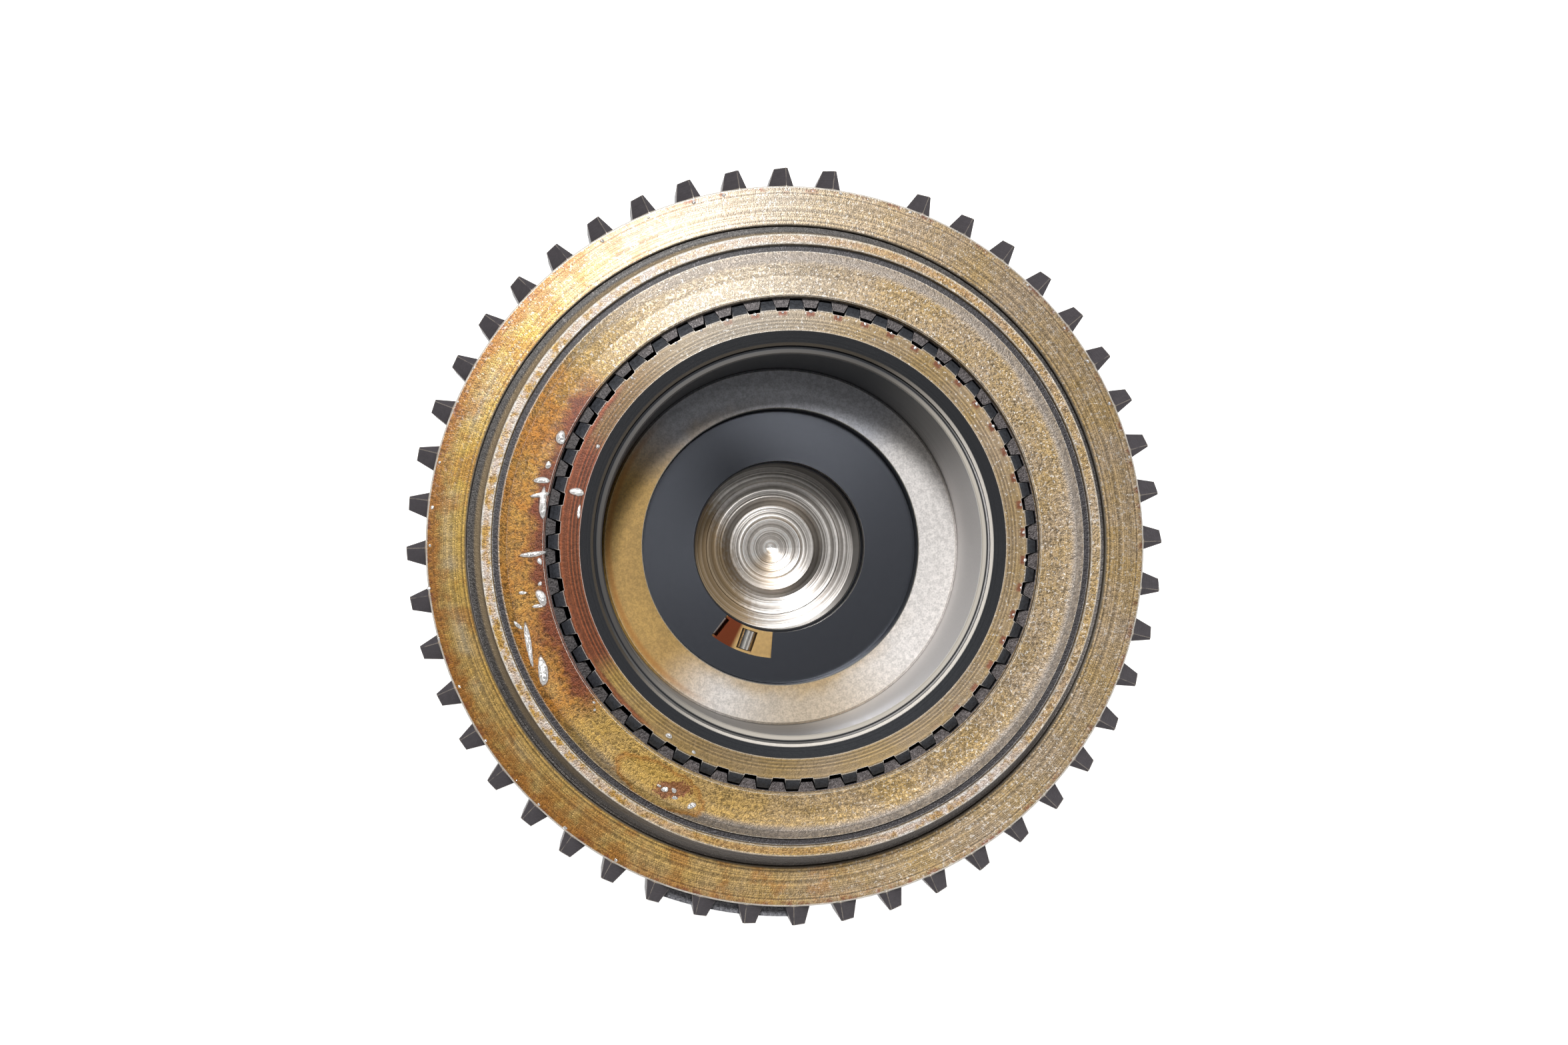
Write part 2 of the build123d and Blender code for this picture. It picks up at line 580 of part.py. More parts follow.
# ---- sun gear ------------------------------------------------------------------------------
sun_face = gear_face(SUN_TEETH, FIRST_PLANET_ANGLE)
input_spline = toothed_face(INPUT_SPLINE_TEETH, 0, straight_flank(INPUT_MINOR, INPUT_MAJOR, 1.9, 1.4))
with BuildPart() as sun_gear:
    with BuildSketch(Plane.XY.offset(SUN_TEETH_BOTTOM)):
        add(sun_face)
    extrude(amount=SUN_TEETH_TOP - SUN_TEETH_BOTTOM)
    turned = half_section(
        (0, SUN_TEETH_TOP - 0.1),
        (COLLAR, SUN_TEETH_TOP - 0.1),
        (COLLAR, SUN_TOP - 0.4),
        (COLLAR - 0.4, SUN_TOP),
        (0, SUN_TOP),
    )
    revolve(turned, axis=Axis.Z)
    turned = half_section(
        (0, SUN_END),
        (JOURNAL - 0.8, SUN_END),
        (JOURNAL, SUN_END + 0.8),
        (JOURNAL, SUN_TEETH_BOTTOM),
        (0, SUN_TEETH_BOTTOM),
    )
    revolve(turned, axis=Axis.Z)
    pilot_floor = SUN_TOP - PILOT_DEPTH
    turned = half_section(
        (0, SUN_TOP),
        (PILOT_BORE + 0.5, SUN_TOP),
        (PILOT_BORE, SUN_TOP - 0.5),
        (PILOT_BORE, pilot_floor),
        *[(radius, pilot_floor - drop) for radius, drop in PILOT_STEPS],
    )
    revolve(turned, axis=Axis.Z, mode=Mode.SUBTRACT)
    with BuildSketch(Plane.XY.offset(SUN_END)):
        add(input_spline)
    extrude(amount=INPUT_DEPTH, mode=Mode.SUBTRACT)
finish(sun_gear.part, "sun_gear")

# ---- thrust bearing on the sun gear's front face -------------------------------------------
RACE_TOP = SUN_TOP + 0.02 + RACE_THICKNESS
FRONT_ROLLER_LEVEL = RACE_TOP + 0.05 + FRONT_ROLLER_RADIUS
with BuildPart() as front_thrust_race:
    with BuildSketch(Plane.XY.offset(SUN_TOP + 0.02)):
        Circle(FRONT_OUTER)
        Circle(FRONT_INNER, mode=Mode.SUBTRACT)
    extrude(amount=RACE_THICKNESS)
finish(front_thrust_race.part, "front_thrust_race")


def roller_cage(inner, outer, level, thickness, rollers, roller_radius, rim, first=0):
    """Flat cage with one radial pocket for each roller, between an inner and an outer rim."""
    pocket = outer - inner - 2 * rim
    with BuildPart() as cage:
        with BuildSketch(Plane.XY.offset(level - thickness / 2)):
            Circle(outer)
            Circle(inner, mode=Mode.SUBTRACT)
            with PolarLocations(inner + rim + pocket / 2, rollers, first):
                Rectangle(pocket, 2 * roller_radius + 0.3, mode=Mode.SUBTRACT)
        extrude(amount=thickness)
    return cage.part


def radial_rollers(level, rollers, roller_radius, start, end, first=0):
    """Radial cylinders, one for each pocket of a cage."""
    with BuildPart() as row:
        for roller in range(rollers):
            outward = (*polar(1, first + roller * 360 / rollers), 0)
            with BuildSketch(Plane(origin=(0, 0, level), x_dir=(0, 0, 1), z_dir=outward).offset(start)):
                Circle(roller_radius)
            extrude(amount=end - start)
    return row.part


front_thrust_cage = roller_cage(
    FRONT_INNER + 0.05,
    FRONT_OUTER,
    FRONT_ROLLER_LEVEL,
    2.4,
    FRONT_ROLLERS,
    FRONT_ROLLER_RADIUS,
    0.5,
    FIRST_FRONT_ROLLER,
)
finish(front_thrust_cage, "front_thrust_cage")

front_thrust_rollers = radial_rollers(
    FRONT_ROLLER_LEVEL,
    FRONT_ROLLERS,
    FRONT_ROLLER_RADIUS,
    FRONT_INNER + 0.7,
    FRONT_OUTER - 0.65,
    FIRST_FRONT_ROLLER,
)
finish(front_thrust_rollers, "front_thrust_rollers")

with BuildPart() as front_thrust_outer_race:
    with BuildSketch(Plane.XY.offset(FRONT_ROLLER_LEVEL + FRONT_ROLLER_RADIUS + 0.05)):
        Circle(OUTER_RACE)
        Circle(FRONT_INNER, mode=Mode.SUBTRACT)
        with BuildLine():
            CenterArc((0, 0), FRONT_OUTER, WINDOW_ANGLE - WINDOW_SPAN / 2, WINDOW_SPAN)
            Line(polar(FRONT_OUTER, WINDOW_ANGLE - WINDOW_SPAN / 2), (0, 0))
            Line(polar(FRONT_OUTER, WINDOW_ANGLE + WINDOW_SPAN / 2), (0, 0))
        make_face(mode=Mode.SUBTRACT)
    extrude(amount=OUTER_RACE_THICKNESS)
finish(front_thrust_outer_race.part, "front_thrust_outer_race")

# ---- thrust bearing between the sun gear and the carrier's rear plate ----------------------
REAR_SEAT = REAR_PLATE_TOP - 3.6
REAR_ROLLER_LEVEL = REAR_SEAT + 0.02 + RACE_THICKNESS + 0.05 + REAR_ROLLER_RADIUS
for owner, level in (("carrier", REAR_SEAT + 0.02), ("sun", REAR_ROLLER_LEVEL + REAR_ROLLER_RADIUS + 0.05)):
    with BuildPart() as rear_race:
        with BuildSketch(Plane.XY.offset(level)):
            Circle(REAR_RACE_OUTER)
            Circle(REAR_RACE_INNER, mode=Mode.SUBTRACT)
        extrude(amount=RACE_THICKNESS)
    finish(rear_race.part, f"rear_thrust_race_{owner}")

rear_thrust_cage = roller_cage(
    REAR_RACE_INNER + 0.3,
    REAR_RACE_OUTER - 0.2,
    REAR_ROLLER_LEVEL,
    1.5,
    REAR_ROLLERS,
    REAR_ROLLER_RADIUS,
    0.9,
)
finish(rear_thrust_cage, "rear_thrust_cage")

rear_thrust_rollers = radial_rollers(
    REAR_ROLLER_LEVEL, REAR_ROLLERS, REAR_ROLLER_RADIUS, REAR_RACE_INNER + 1.35, REAR_RACE_OUTER - 1.25
)
finish(rear_thrust_rollers, "rear_thrust_rollers")
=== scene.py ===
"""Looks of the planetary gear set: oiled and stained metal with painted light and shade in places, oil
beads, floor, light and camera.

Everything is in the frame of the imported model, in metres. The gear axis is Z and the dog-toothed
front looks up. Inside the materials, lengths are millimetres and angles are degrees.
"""
import math
import random

import bmesh
import bpy
from mathutils import Matrix, Vector

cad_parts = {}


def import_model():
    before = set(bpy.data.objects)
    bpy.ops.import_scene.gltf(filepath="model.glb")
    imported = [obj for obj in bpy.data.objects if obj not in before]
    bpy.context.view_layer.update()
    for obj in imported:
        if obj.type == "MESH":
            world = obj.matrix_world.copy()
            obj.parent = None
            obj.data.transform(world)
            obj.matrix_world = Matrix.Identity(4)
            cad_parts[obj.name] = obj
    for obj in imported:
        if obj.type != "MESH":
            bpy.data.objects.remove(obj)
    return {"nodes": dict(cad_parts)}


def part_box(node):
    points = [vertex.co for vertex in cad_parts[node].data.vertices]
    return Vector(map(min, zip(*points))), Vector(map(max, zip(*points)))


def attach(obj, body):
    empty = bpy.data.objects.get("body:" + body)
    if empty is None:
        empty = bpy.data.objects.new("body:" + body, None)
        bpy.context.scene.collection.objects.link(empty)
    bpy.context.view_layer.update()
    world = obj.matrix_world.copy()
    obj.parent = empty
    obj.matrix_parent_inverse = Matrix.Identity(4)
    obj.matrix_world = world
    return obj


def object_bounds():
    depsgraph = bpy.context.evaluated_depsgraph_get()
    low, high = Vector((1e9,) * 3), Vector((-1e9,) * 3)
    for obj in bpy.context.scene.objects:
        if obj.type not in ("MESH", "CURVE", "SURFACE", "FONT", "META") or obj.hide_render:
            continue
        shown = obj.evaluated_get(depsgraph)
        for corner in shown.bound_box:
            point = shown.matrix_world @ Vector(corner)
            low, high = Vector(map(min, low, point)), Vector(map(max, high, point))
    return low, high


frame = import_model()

CAD_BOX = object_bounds()
NODES = frame["nodes"]
MM = 0.001
QUARTER_TURN = 0.25
SPLINE_TEETH = 52
HUB_NOTCH = -3.93  # degrees, middle of one space of the hub's spline


# ---- places and sizes read from the frame --------------------------------------------------
def top_of(node):
    """Height of a node's highest point in metres."""
    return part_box(node)[1][2]


FRONT = top_of("ring_gear_flange")
RING_FACE = top_of("ring_gear")
NECK_FACE = top_of("carrier_front_plate")
SUN_FACE = top_of("sun_gear")


# ---- radii that bound the looks, in millimetres --------------------------------------------
RIM_RADIUS = 71.0
COUNTERBORE = (63.2, 63.45)
TOOTH_FOOT = (71.32, 71.45)
WEB_DROP = 5.2
LAND = (58.15, 60.1)
COVE_START = (60.08, 60.15)
FLANGE_GROOVE = (56.85, 58.02)
FLANGE_BEVEL = (54.4, 56.75)
SPLINE_END = (47.9, 47.97)
SPLINE_FOOT = (47.95, 48.1)
HUB_TEETH = (45.0, 45.1)
HUB_MOUTH = (41.42, 41.5)
HUB_LIP = (39.15, 39.35)
BUSH_RIM = (37.9, 38.1)
NECK_BORE = (28.8, 28.95)
PILOT_MOUTH = (17.3, 17.45)


# ---- short calls for building a material ---------------------------------------------------
class Shader:
    """One material. Each call adds a node and returns its output socket."""

    def __init__(self, name):
        self.material = bpy.data.materials.new(name)
        self.material.use_nodes = True
        self.tree = self.material.node_tree
        self.surface = self.tree.nodes["Principled BSDF"]
        coordinates = self.tree.nodes.new("ShaderNodeTexCoord")
        self.place = self.vector("SCALE", coordinates.outputs["Object"], scale=1000)
        split = self.tree.nodes.new("ShaderNodeSeparateXYZ")
        self.tree.links.new(self.place, split.inputs[0])
        self.x, self.y, self.height = split.outputs
        self.radius = self.math("SQRT", self.math("ADD", self.power(self.x, 2), self.power(self.y, 2)))
        self.angle = self.math("ARCTAN2", self.y, self.x)

    def put(self, value, socket):
        """Link an output socket to an input, or set the input to a plain value."""
        if isinstance(value, bpy.types.NodeSocket):
            self.tree.links.new(value, socket)
        elif isinstance(value, (tuple, list)) and socket.type == "RGBA":
            socket.default_value = (*value[:3], 1)
        else:
            socket.default_value = value

    def math(self, operation, *values):
        node = self.tree.nodes.new("ShaderNodeMath")
        node.operation = operation
        for value, socket in zip(values, node.inputs):
            self.put(value, socket)
        return node.outputs[0]

    def power(self, value, exponent):
        return self.math("POWER", self.math("ABSOLUTE", value), exponent)

    def vector(self, operation, *values, scale=None):
        node = self.tree.nodes.new("ShaderNodeVectorMath")
        node.operation = operation
        for value, socket in zip(values, node.inputs):
            self.put(value, socket)
        if scale is not None:
            node.inputs["Scale"].default_value = scale
        return node.outputs["Vector"]

    def product(self, *values):
        result = values[0]
        for value in values[1:]:
            result = self.math("MULTIPLY", result, value)
        return result

    def step(self, value, low, high):
        """0 below low, 1 above high, smooth between; low may lie above high."""
        node = self.tree.nodes.new("ShaderNodeMapRange")
        node.interpolation_type = "SMOOTHSTEP"
        flip = low > high
        self.put(value, node.inputs["Value"])
        node.inputs["From Min"].default_value = min(low, high)
        node.inputs["From Max"].default_value = max(low, high)
        node.inputs["To Min"].default_value = 1 if flip else 0
        node.inputs["To Max"].default_value = 0 if flip else 1
        return node.outputs[0]

    def band(self, value, low, high, soft):
        """1 between low and high, with soft edges."""
        rise = self.step(value, low - soft / 2, low + soft / 2)
        fall = self.step(value, high + soft / 2, high - soft / 2)
        return self.product(rise, fall)

    def inside(self, edge):
        """1 nearer the axis than an edge, which is a pair of radii."""
        return self.step(self.radius, edge[1], edge[0])

    def outside(self, edge):
        """1 farther from the axis than an edge, which is a pair of radii."""
        return self.step(self.radius, edge[0], edge[1])

    def ring(self, edges, soft):
        """1 between two radii, with soft edges."""
        return self.band(self.radius, edges[0], edges[1], soft)

    def sector(self, middle, half_width, soft=8.0):
        """1 within half_width degrees of a direction around the axis, with soft edges."""
        turned = self.math("SUBTRACT", self.angle, math.radians(middle))
        away = self.math("MULTIPLY", self.math("ARCCOSINE", self.math("COSINE", turned)), 180 / math.pi)
        return self.step(away, half_width + soft / 2, half_width - soft / 2)

    def noise(self, scale, detail=3, rough=0.55, at=None, kind="3D"):
        """Noise with its features about 1 / scale millimetres across."""
        node = self.tree.nodes.new("ShaderNodeTexNoise")
        node.noise_dimensions = kind
        node.inputs["Scale"].default_value = scale
        node.inputs["Detail"].default_value = detail
        node.inputs["Roughness"].default_value = rough
        if kind == "1D":
            self.put(at, node.inputs["W"])
        else:
            self.put(self.place if at is None else at, node.inputs["Vector"])
        return node.outputs["Fac"]

    def shifted(self, x, y, z):
        """The place moved by a fixed step, so that two noises don't match."""
        return self.vector("ADD", self.place, (x, y, z))

    def mix(self, factor, first, second):
        """Colour between two colours."""
        node = self.tree.nodes.new("ShaderNodeMix")
        node.data_type = "RGBA"
        self.put(factor, node.inputs[0])
        self.put(first, node.inputs[6])
        self.put(second, node.inputs[7])
        return node.outputs[2]

    def shade(self, colour, factor):
        """Colour multiplied by a number."""
        return self.vector("MULTIPLY", colour, self.combine(factor))

    def combine(self, value):
        node = self.tree.nodes.new("ShaderNodeCombineXYZ")
        for socket in node.inputs:
            self.put(value, socket)
        return node.outputs[0]

    def spread(self, value, low, high):
        """A 0 to 1 value spread over another range."""
        return self.math("MULTIPLY_ADD", value, high - low, low)

    def bump(self, height, depth, normal=None):
        """Normal from a height in 0 to 1 that is depth metres tall."""
        node = self.tree.nodes.new("ShaderNodeBump")
        node.inputs["Strength"].default_value = 1.0
        node.inputs["Distance"].default_value = depth
        self.put(height, node.inputs["Height"])
        if normal is not None:
            self.put(normal, node.inputs["Normal"])
        return node.outputs[0]

    def facing_up(self):
        """1 where the surface looks along the axis to the front, 0 on walls."""
        geometry = self.tree.nodes.new("ShaderNodeTexCoord")
        split = self.tree.nodes.new("ShaderNodeSeparateXYZ")
        self.tree.links.new(geometry.outputs["Normal"], split.inputs[0])
        return self.step(split.outputs[2], 0.75, 0.97)

    def edges(self, width):
        """1 along sharp edges."""
        bevel = self.tree.nodes.new("ShaderNodeBevel")
        bevel.samples = 4
        bevel.inputs["Radius"].default_value = width
        geometry = self.tree.nodes.new("ShaderNodeNewGeometry")
        node = self.tree.nodes.new("ShaderNodeVectorMath")
        node.operation = "DOT_PRODUCT"
        self.tree.links.new(bevel.outputs[0], node.inputs[0])
        self.tree.links.new(geometry.outputs["True Normal"], node.inputs[1])
        return self.step(node.outputs["Value"], 0.995, 0.93)

    def turned_tangent(self, amount):
        """Turned highlights, which spread across the marks around the axis."""
        node = self.tree.nodes.new("ShaderNodeTangent")
        node.direction_type = "RADIAL"
        node.axis = "Z"
        self.surface.inputs["Anisotropic"].default_value = amount
        self.surface.inputs["Anisotropic Rotation"].default_value = QUARTER_TURN
        self.tree.links.new(node.outputs[0], self.surface.inputs["Tangent"])

    def oil_film(self, weight=0.25):
        """Thin film of oil, whose soft white sheen lies over the metal's own."""
        self.surface.inputs["Coat Weight"].default_value = weight
        self.surface.inputs["Coat Roughness"].default_value = 0.34

    def finish(self, colour, rough, metallic=1.0, normal=None, coat=0.0, coat_rough=0.1):
        """Connect the surface, and return the material."""
        self.put(colour, self.surface.inputs["Base Color"])
        self.put(rough, self.surface.inputs["Roughness"])
        self.surface.inputs["Metallic"].default_value = metallic
        if normal is not None:
            self.put(normal, self.surface.inputs["Normal"])
        if coat:
            self.surface.inputs["Coat Weight"].default_value = coat
            self.surface.inputs["Coat Roughness"].default_value = coat_rough
        return self.material


# ---- colours, linear -----------------------------------------------------------------------
STEEL = (0.52, 0.49, 0.46)
PALE_STEEL = (0.88, 0.84, 0.81)
SILVER = (0.95, 0.92, 0.88)
BEIGE = (0.40, 0.295, 0.185)
HIGHLIGHT_BEIGE = (0.44, 0.39, 0.33)
GOLD = (0.42, 0.285, 0.120)
AMBER = (0.47, 0.285, 0.052)
ORANGE = (0.40, 0.150, 0.014)
RED_BROWN = (0.165, 0.036, 0.012)
YELLOW = (0.56, 0.37, 0.045)
STRAW = (0.48, 0.42, 0.30)
RUSSET = (0.19, 0.070, 0.032)
LILAC = (0.34, 0.295, 0.26)
COVE = (0.060, 0.054, 0.050)
CHARCOAL = (0.075, 0.066, 0.074)
PAINTED_SHADE_BLUE_BLACK = (0.050, 0.055, 0.066)
GROOVE = (0.050, 0.046, 0.050)
SHADED_BORE = (0.030, 0.033, 0.040)


def varnished(s, left_strength=1.0):
    """Steel under an amber oil varnish, which is thicker on the side at nine o'clock, with a painted
    highlight of pale beige towards eleven o'clock.
    """
    cloud = s.noise(0.09, 4, 0.6)
    side = s.step(s.x, 45, -60)
    base = s.mix(s.step(cloud, 0.35, 0.65), BEIGE, GOLD)
    base = s.mix(s.product(side, left_strength, s.spread(cloud, 0.5, 1.0)), base, AMBER)
    # painted highlight: paler beige towards eleven o'clock, where the key light's sheen falls
    return s.mix(s.product(s.sector(104, 24, 36), 0.7), base, HIGHLIGHT_BEIGE)


def turning_marks(s, per_mm=2.6):
    """Fine rings around the axis over broader ones, broken up here and there."""
    fine = s.noise(per_mm, 2, 0.6, at=s.radius, kind="1D")
    broad = s.noise(per_mm * 0.4, 2, 0.6, at=s.math("ADD", s.radius, 37.0), kind="1D")
    rings = s.math("ADD", s.product(fine, 0.55), s.product(broad, 0.45))
    breaks = s.noise(0.25, 2, 0.6, at=s.shifted(5, 50, 9))
    contrast = s.spread(breaks, 0.6, 1.6)
    rings = s.math("MULTIPLY_ADD", s.math("SUBTRACT", rings, 0.5), contrast, 0.5)
    return s.step(rings, 0.36, 0.64)


def grain_of(s, size, strength=1.0):
    """Small crowded specks, 0 to 1, about size millimetres across."""
    coarse = s.noise(1 / size, 3, 0.7, at=s.shifted(3, 8, 1))
    fine = s.noise(2.3 / size, 2, 0.6, at=s.shifted(17, 2, 9))
    both = s.math("ADD", s.product(coarse, 0.6), s.product(fine, 0.4))
    return s.step(both, 0.5 - 0.14 / strength, 0.5 + 0.14 / strength)


def sparks_of(s, size, rarity):
    """Few bright specks."""
    return s.step(s.noise(1 / size, 3, 0.75, at=s.shifted(71, 13, 5)), rarity, rarity + 0.06)


def ring_gear_look():
    s = Shader("oiled_ring_gear")
    face = RING_FACE / MM
    marks = turning_marks(s)
    grain = grain_of(s, 0.7)
    up = s.facing_up()
    colour = s.shade(varnished(s), s.spread(marks, 0.55, 1.34))
    colour = s.shade(colour, s.spread(grain, 0.70, 1.26))
    # painted shade: darker towards five o'clock and at twelve o'clock, which damps the turned sheen there
    colour = s.shade(colour, s.spread(s.sector(-60, 36, 44), 1.0, 0.66))
    colour = s.shade(colour, s.spread(s.sector(90, 12, 20), 1.0, 0.80))
    patch = s.noise(0.12, 3, 0.5, at=s.shifted(80, 3, 0))
    yellow = s.product(s.sector(150, 38, 30), s.band(s.radius, 63.8, 67.5, 3), s.step(patch, 0.3, 0.6))
    yellow_varnish = s.shade(YELLOW, s.spread(marks, 0.8, 1.2))
    colour = s.mix(s.product(yellow, 0.5), colour, yellow_varnish)
    pale = s.product(s.sector(180, 30, 40), s.band(s.radius, 65.5, 68, 2), s.step(patch, 0.6, 0.3))
    colour = s.mix(s.product(pale, 0.6), colour, s.shade(STRAW, s.spread(grain, 0.8, 1.2)))
    brown = s.step(s.noise(0.16, 4, 0.6, at=s.shifted(33, 3, 9)), 0.46, 0.60)
    brown = s.product(brown, s.sector(195, 85, 50))
    colour = s.mix(s.product(brown, 0.55), colour, s.shade(ORANGE, s.spread(marks, 0.5, 1.1)))
    rim_noise = s.noise(0.35, 4, 0.65, at=s.shifted(0, 90, 4))
    rim_reach = s.math("MULTIPLY_ADD", rim_noise, -7.0, 72.6)
    near_rim = s.step(s.math("SUBTRACT", s.radius, rim_reach), -1.2, 1.4)
    near_rim = s.product(near_rim, s.sector(186, 62, 50), 0.85)
    colour = s.mix(near_rim, colour, s.shade(ORANGE, s.spread(grain, 0.5, 1.1)))
    rust = s.step(s.noise(0.45, 4, 0.7, at=s.shifted(4, 4, 44)), 0.50, 0.62)
    rust = s.product(rust, s.step(s.radius, 69.4, RIM_RADIUS))
    colour = s.mix(s.product(rust, 0.8), colour, RED_BROWN)
    sparks = s.product(sparks_of(s, 0.62, 0.56), s.sector(40, 120, 60))
    colour = s.mix(s.product(sparks, 0.35), colour, SILVER)
    side = s.mix(s.noise(0.15, 4, 0.6), (0.22, 0.20, 0.17), (0.36, 0.31, 0.24))
    side = s.shade(side, s.spread(s.noise(1.4, 2, 0.6, at=s.height, kind="1D"), 0.8, 1.2))
    colour = s.mix(up, side, colour)
    bore_colour = s.mix(s.noise(0.3, 3), (0.30, 0.27, 0.23), (0.42, 0.36, 0.28))
    colour = s.mix(s.inside(COUNTERBORE), colour, bore_colour)
    tooth = s.outside(TOOTH_FOOT)
    dirt = s.noise(1.1, 4, 0.6, at=s.shifted(9, 1, 2))
    tooth_colour = s.mix(dirt, s.shade(CHARCOAL, 0.75), s.shade(CHARCOAL, 1.35))
    # painted highlight: lighter lines along the tooth edges
    edge = s.product(s.edges(0.26 * MM), s.step(s.noise(0.5, 3), 0.30, 0.55))
    tooth_colour = s.mix(s.product(edge, 0.85), tooth_colour, (0.46, 0.40, 0.33))
    web_top = face - WEB_DROP
    web = s.product(s.sector(-99.9, 11.3, 0.4), s.step(s.height, web_top + 0.12, web_top + 0.06), tooth, up)
    tooth_colour = s.mix(web, tooth_colour, s.mix(grain, (0.07, 0.07, 0.08), (0.26, 0.26, 0.28)))
    colour = s.mix(tooth, colour, tooth_colour)
    # painted highlight: a light line along the face's outer edge, at the foot of the teeth
    rim_highlight_line = s.product(s.band(s.radius, 70.95, 71.3, 0.2), s.step(s.height, face - 1.0, face - 0.6))
    colour = s.mix(s.product(rim_highlight_line, s.spread(dirt, 0.3, 0.8)), colour, (0.80, 0.75, 0.68))
    rough = s.mix(tooth, s.combine(s.spread(grain, 0.32, 0.44)), (0.42, 0.42, 0.42))
    normal = s.bump(marks, 0.014 * MM, s.bump(grain, 0.016 * MM))
    s.turned_tangent(0.8)
    s.oil_film()
    return s.finish(colour, rough, metallic=0.5, normal=normal)


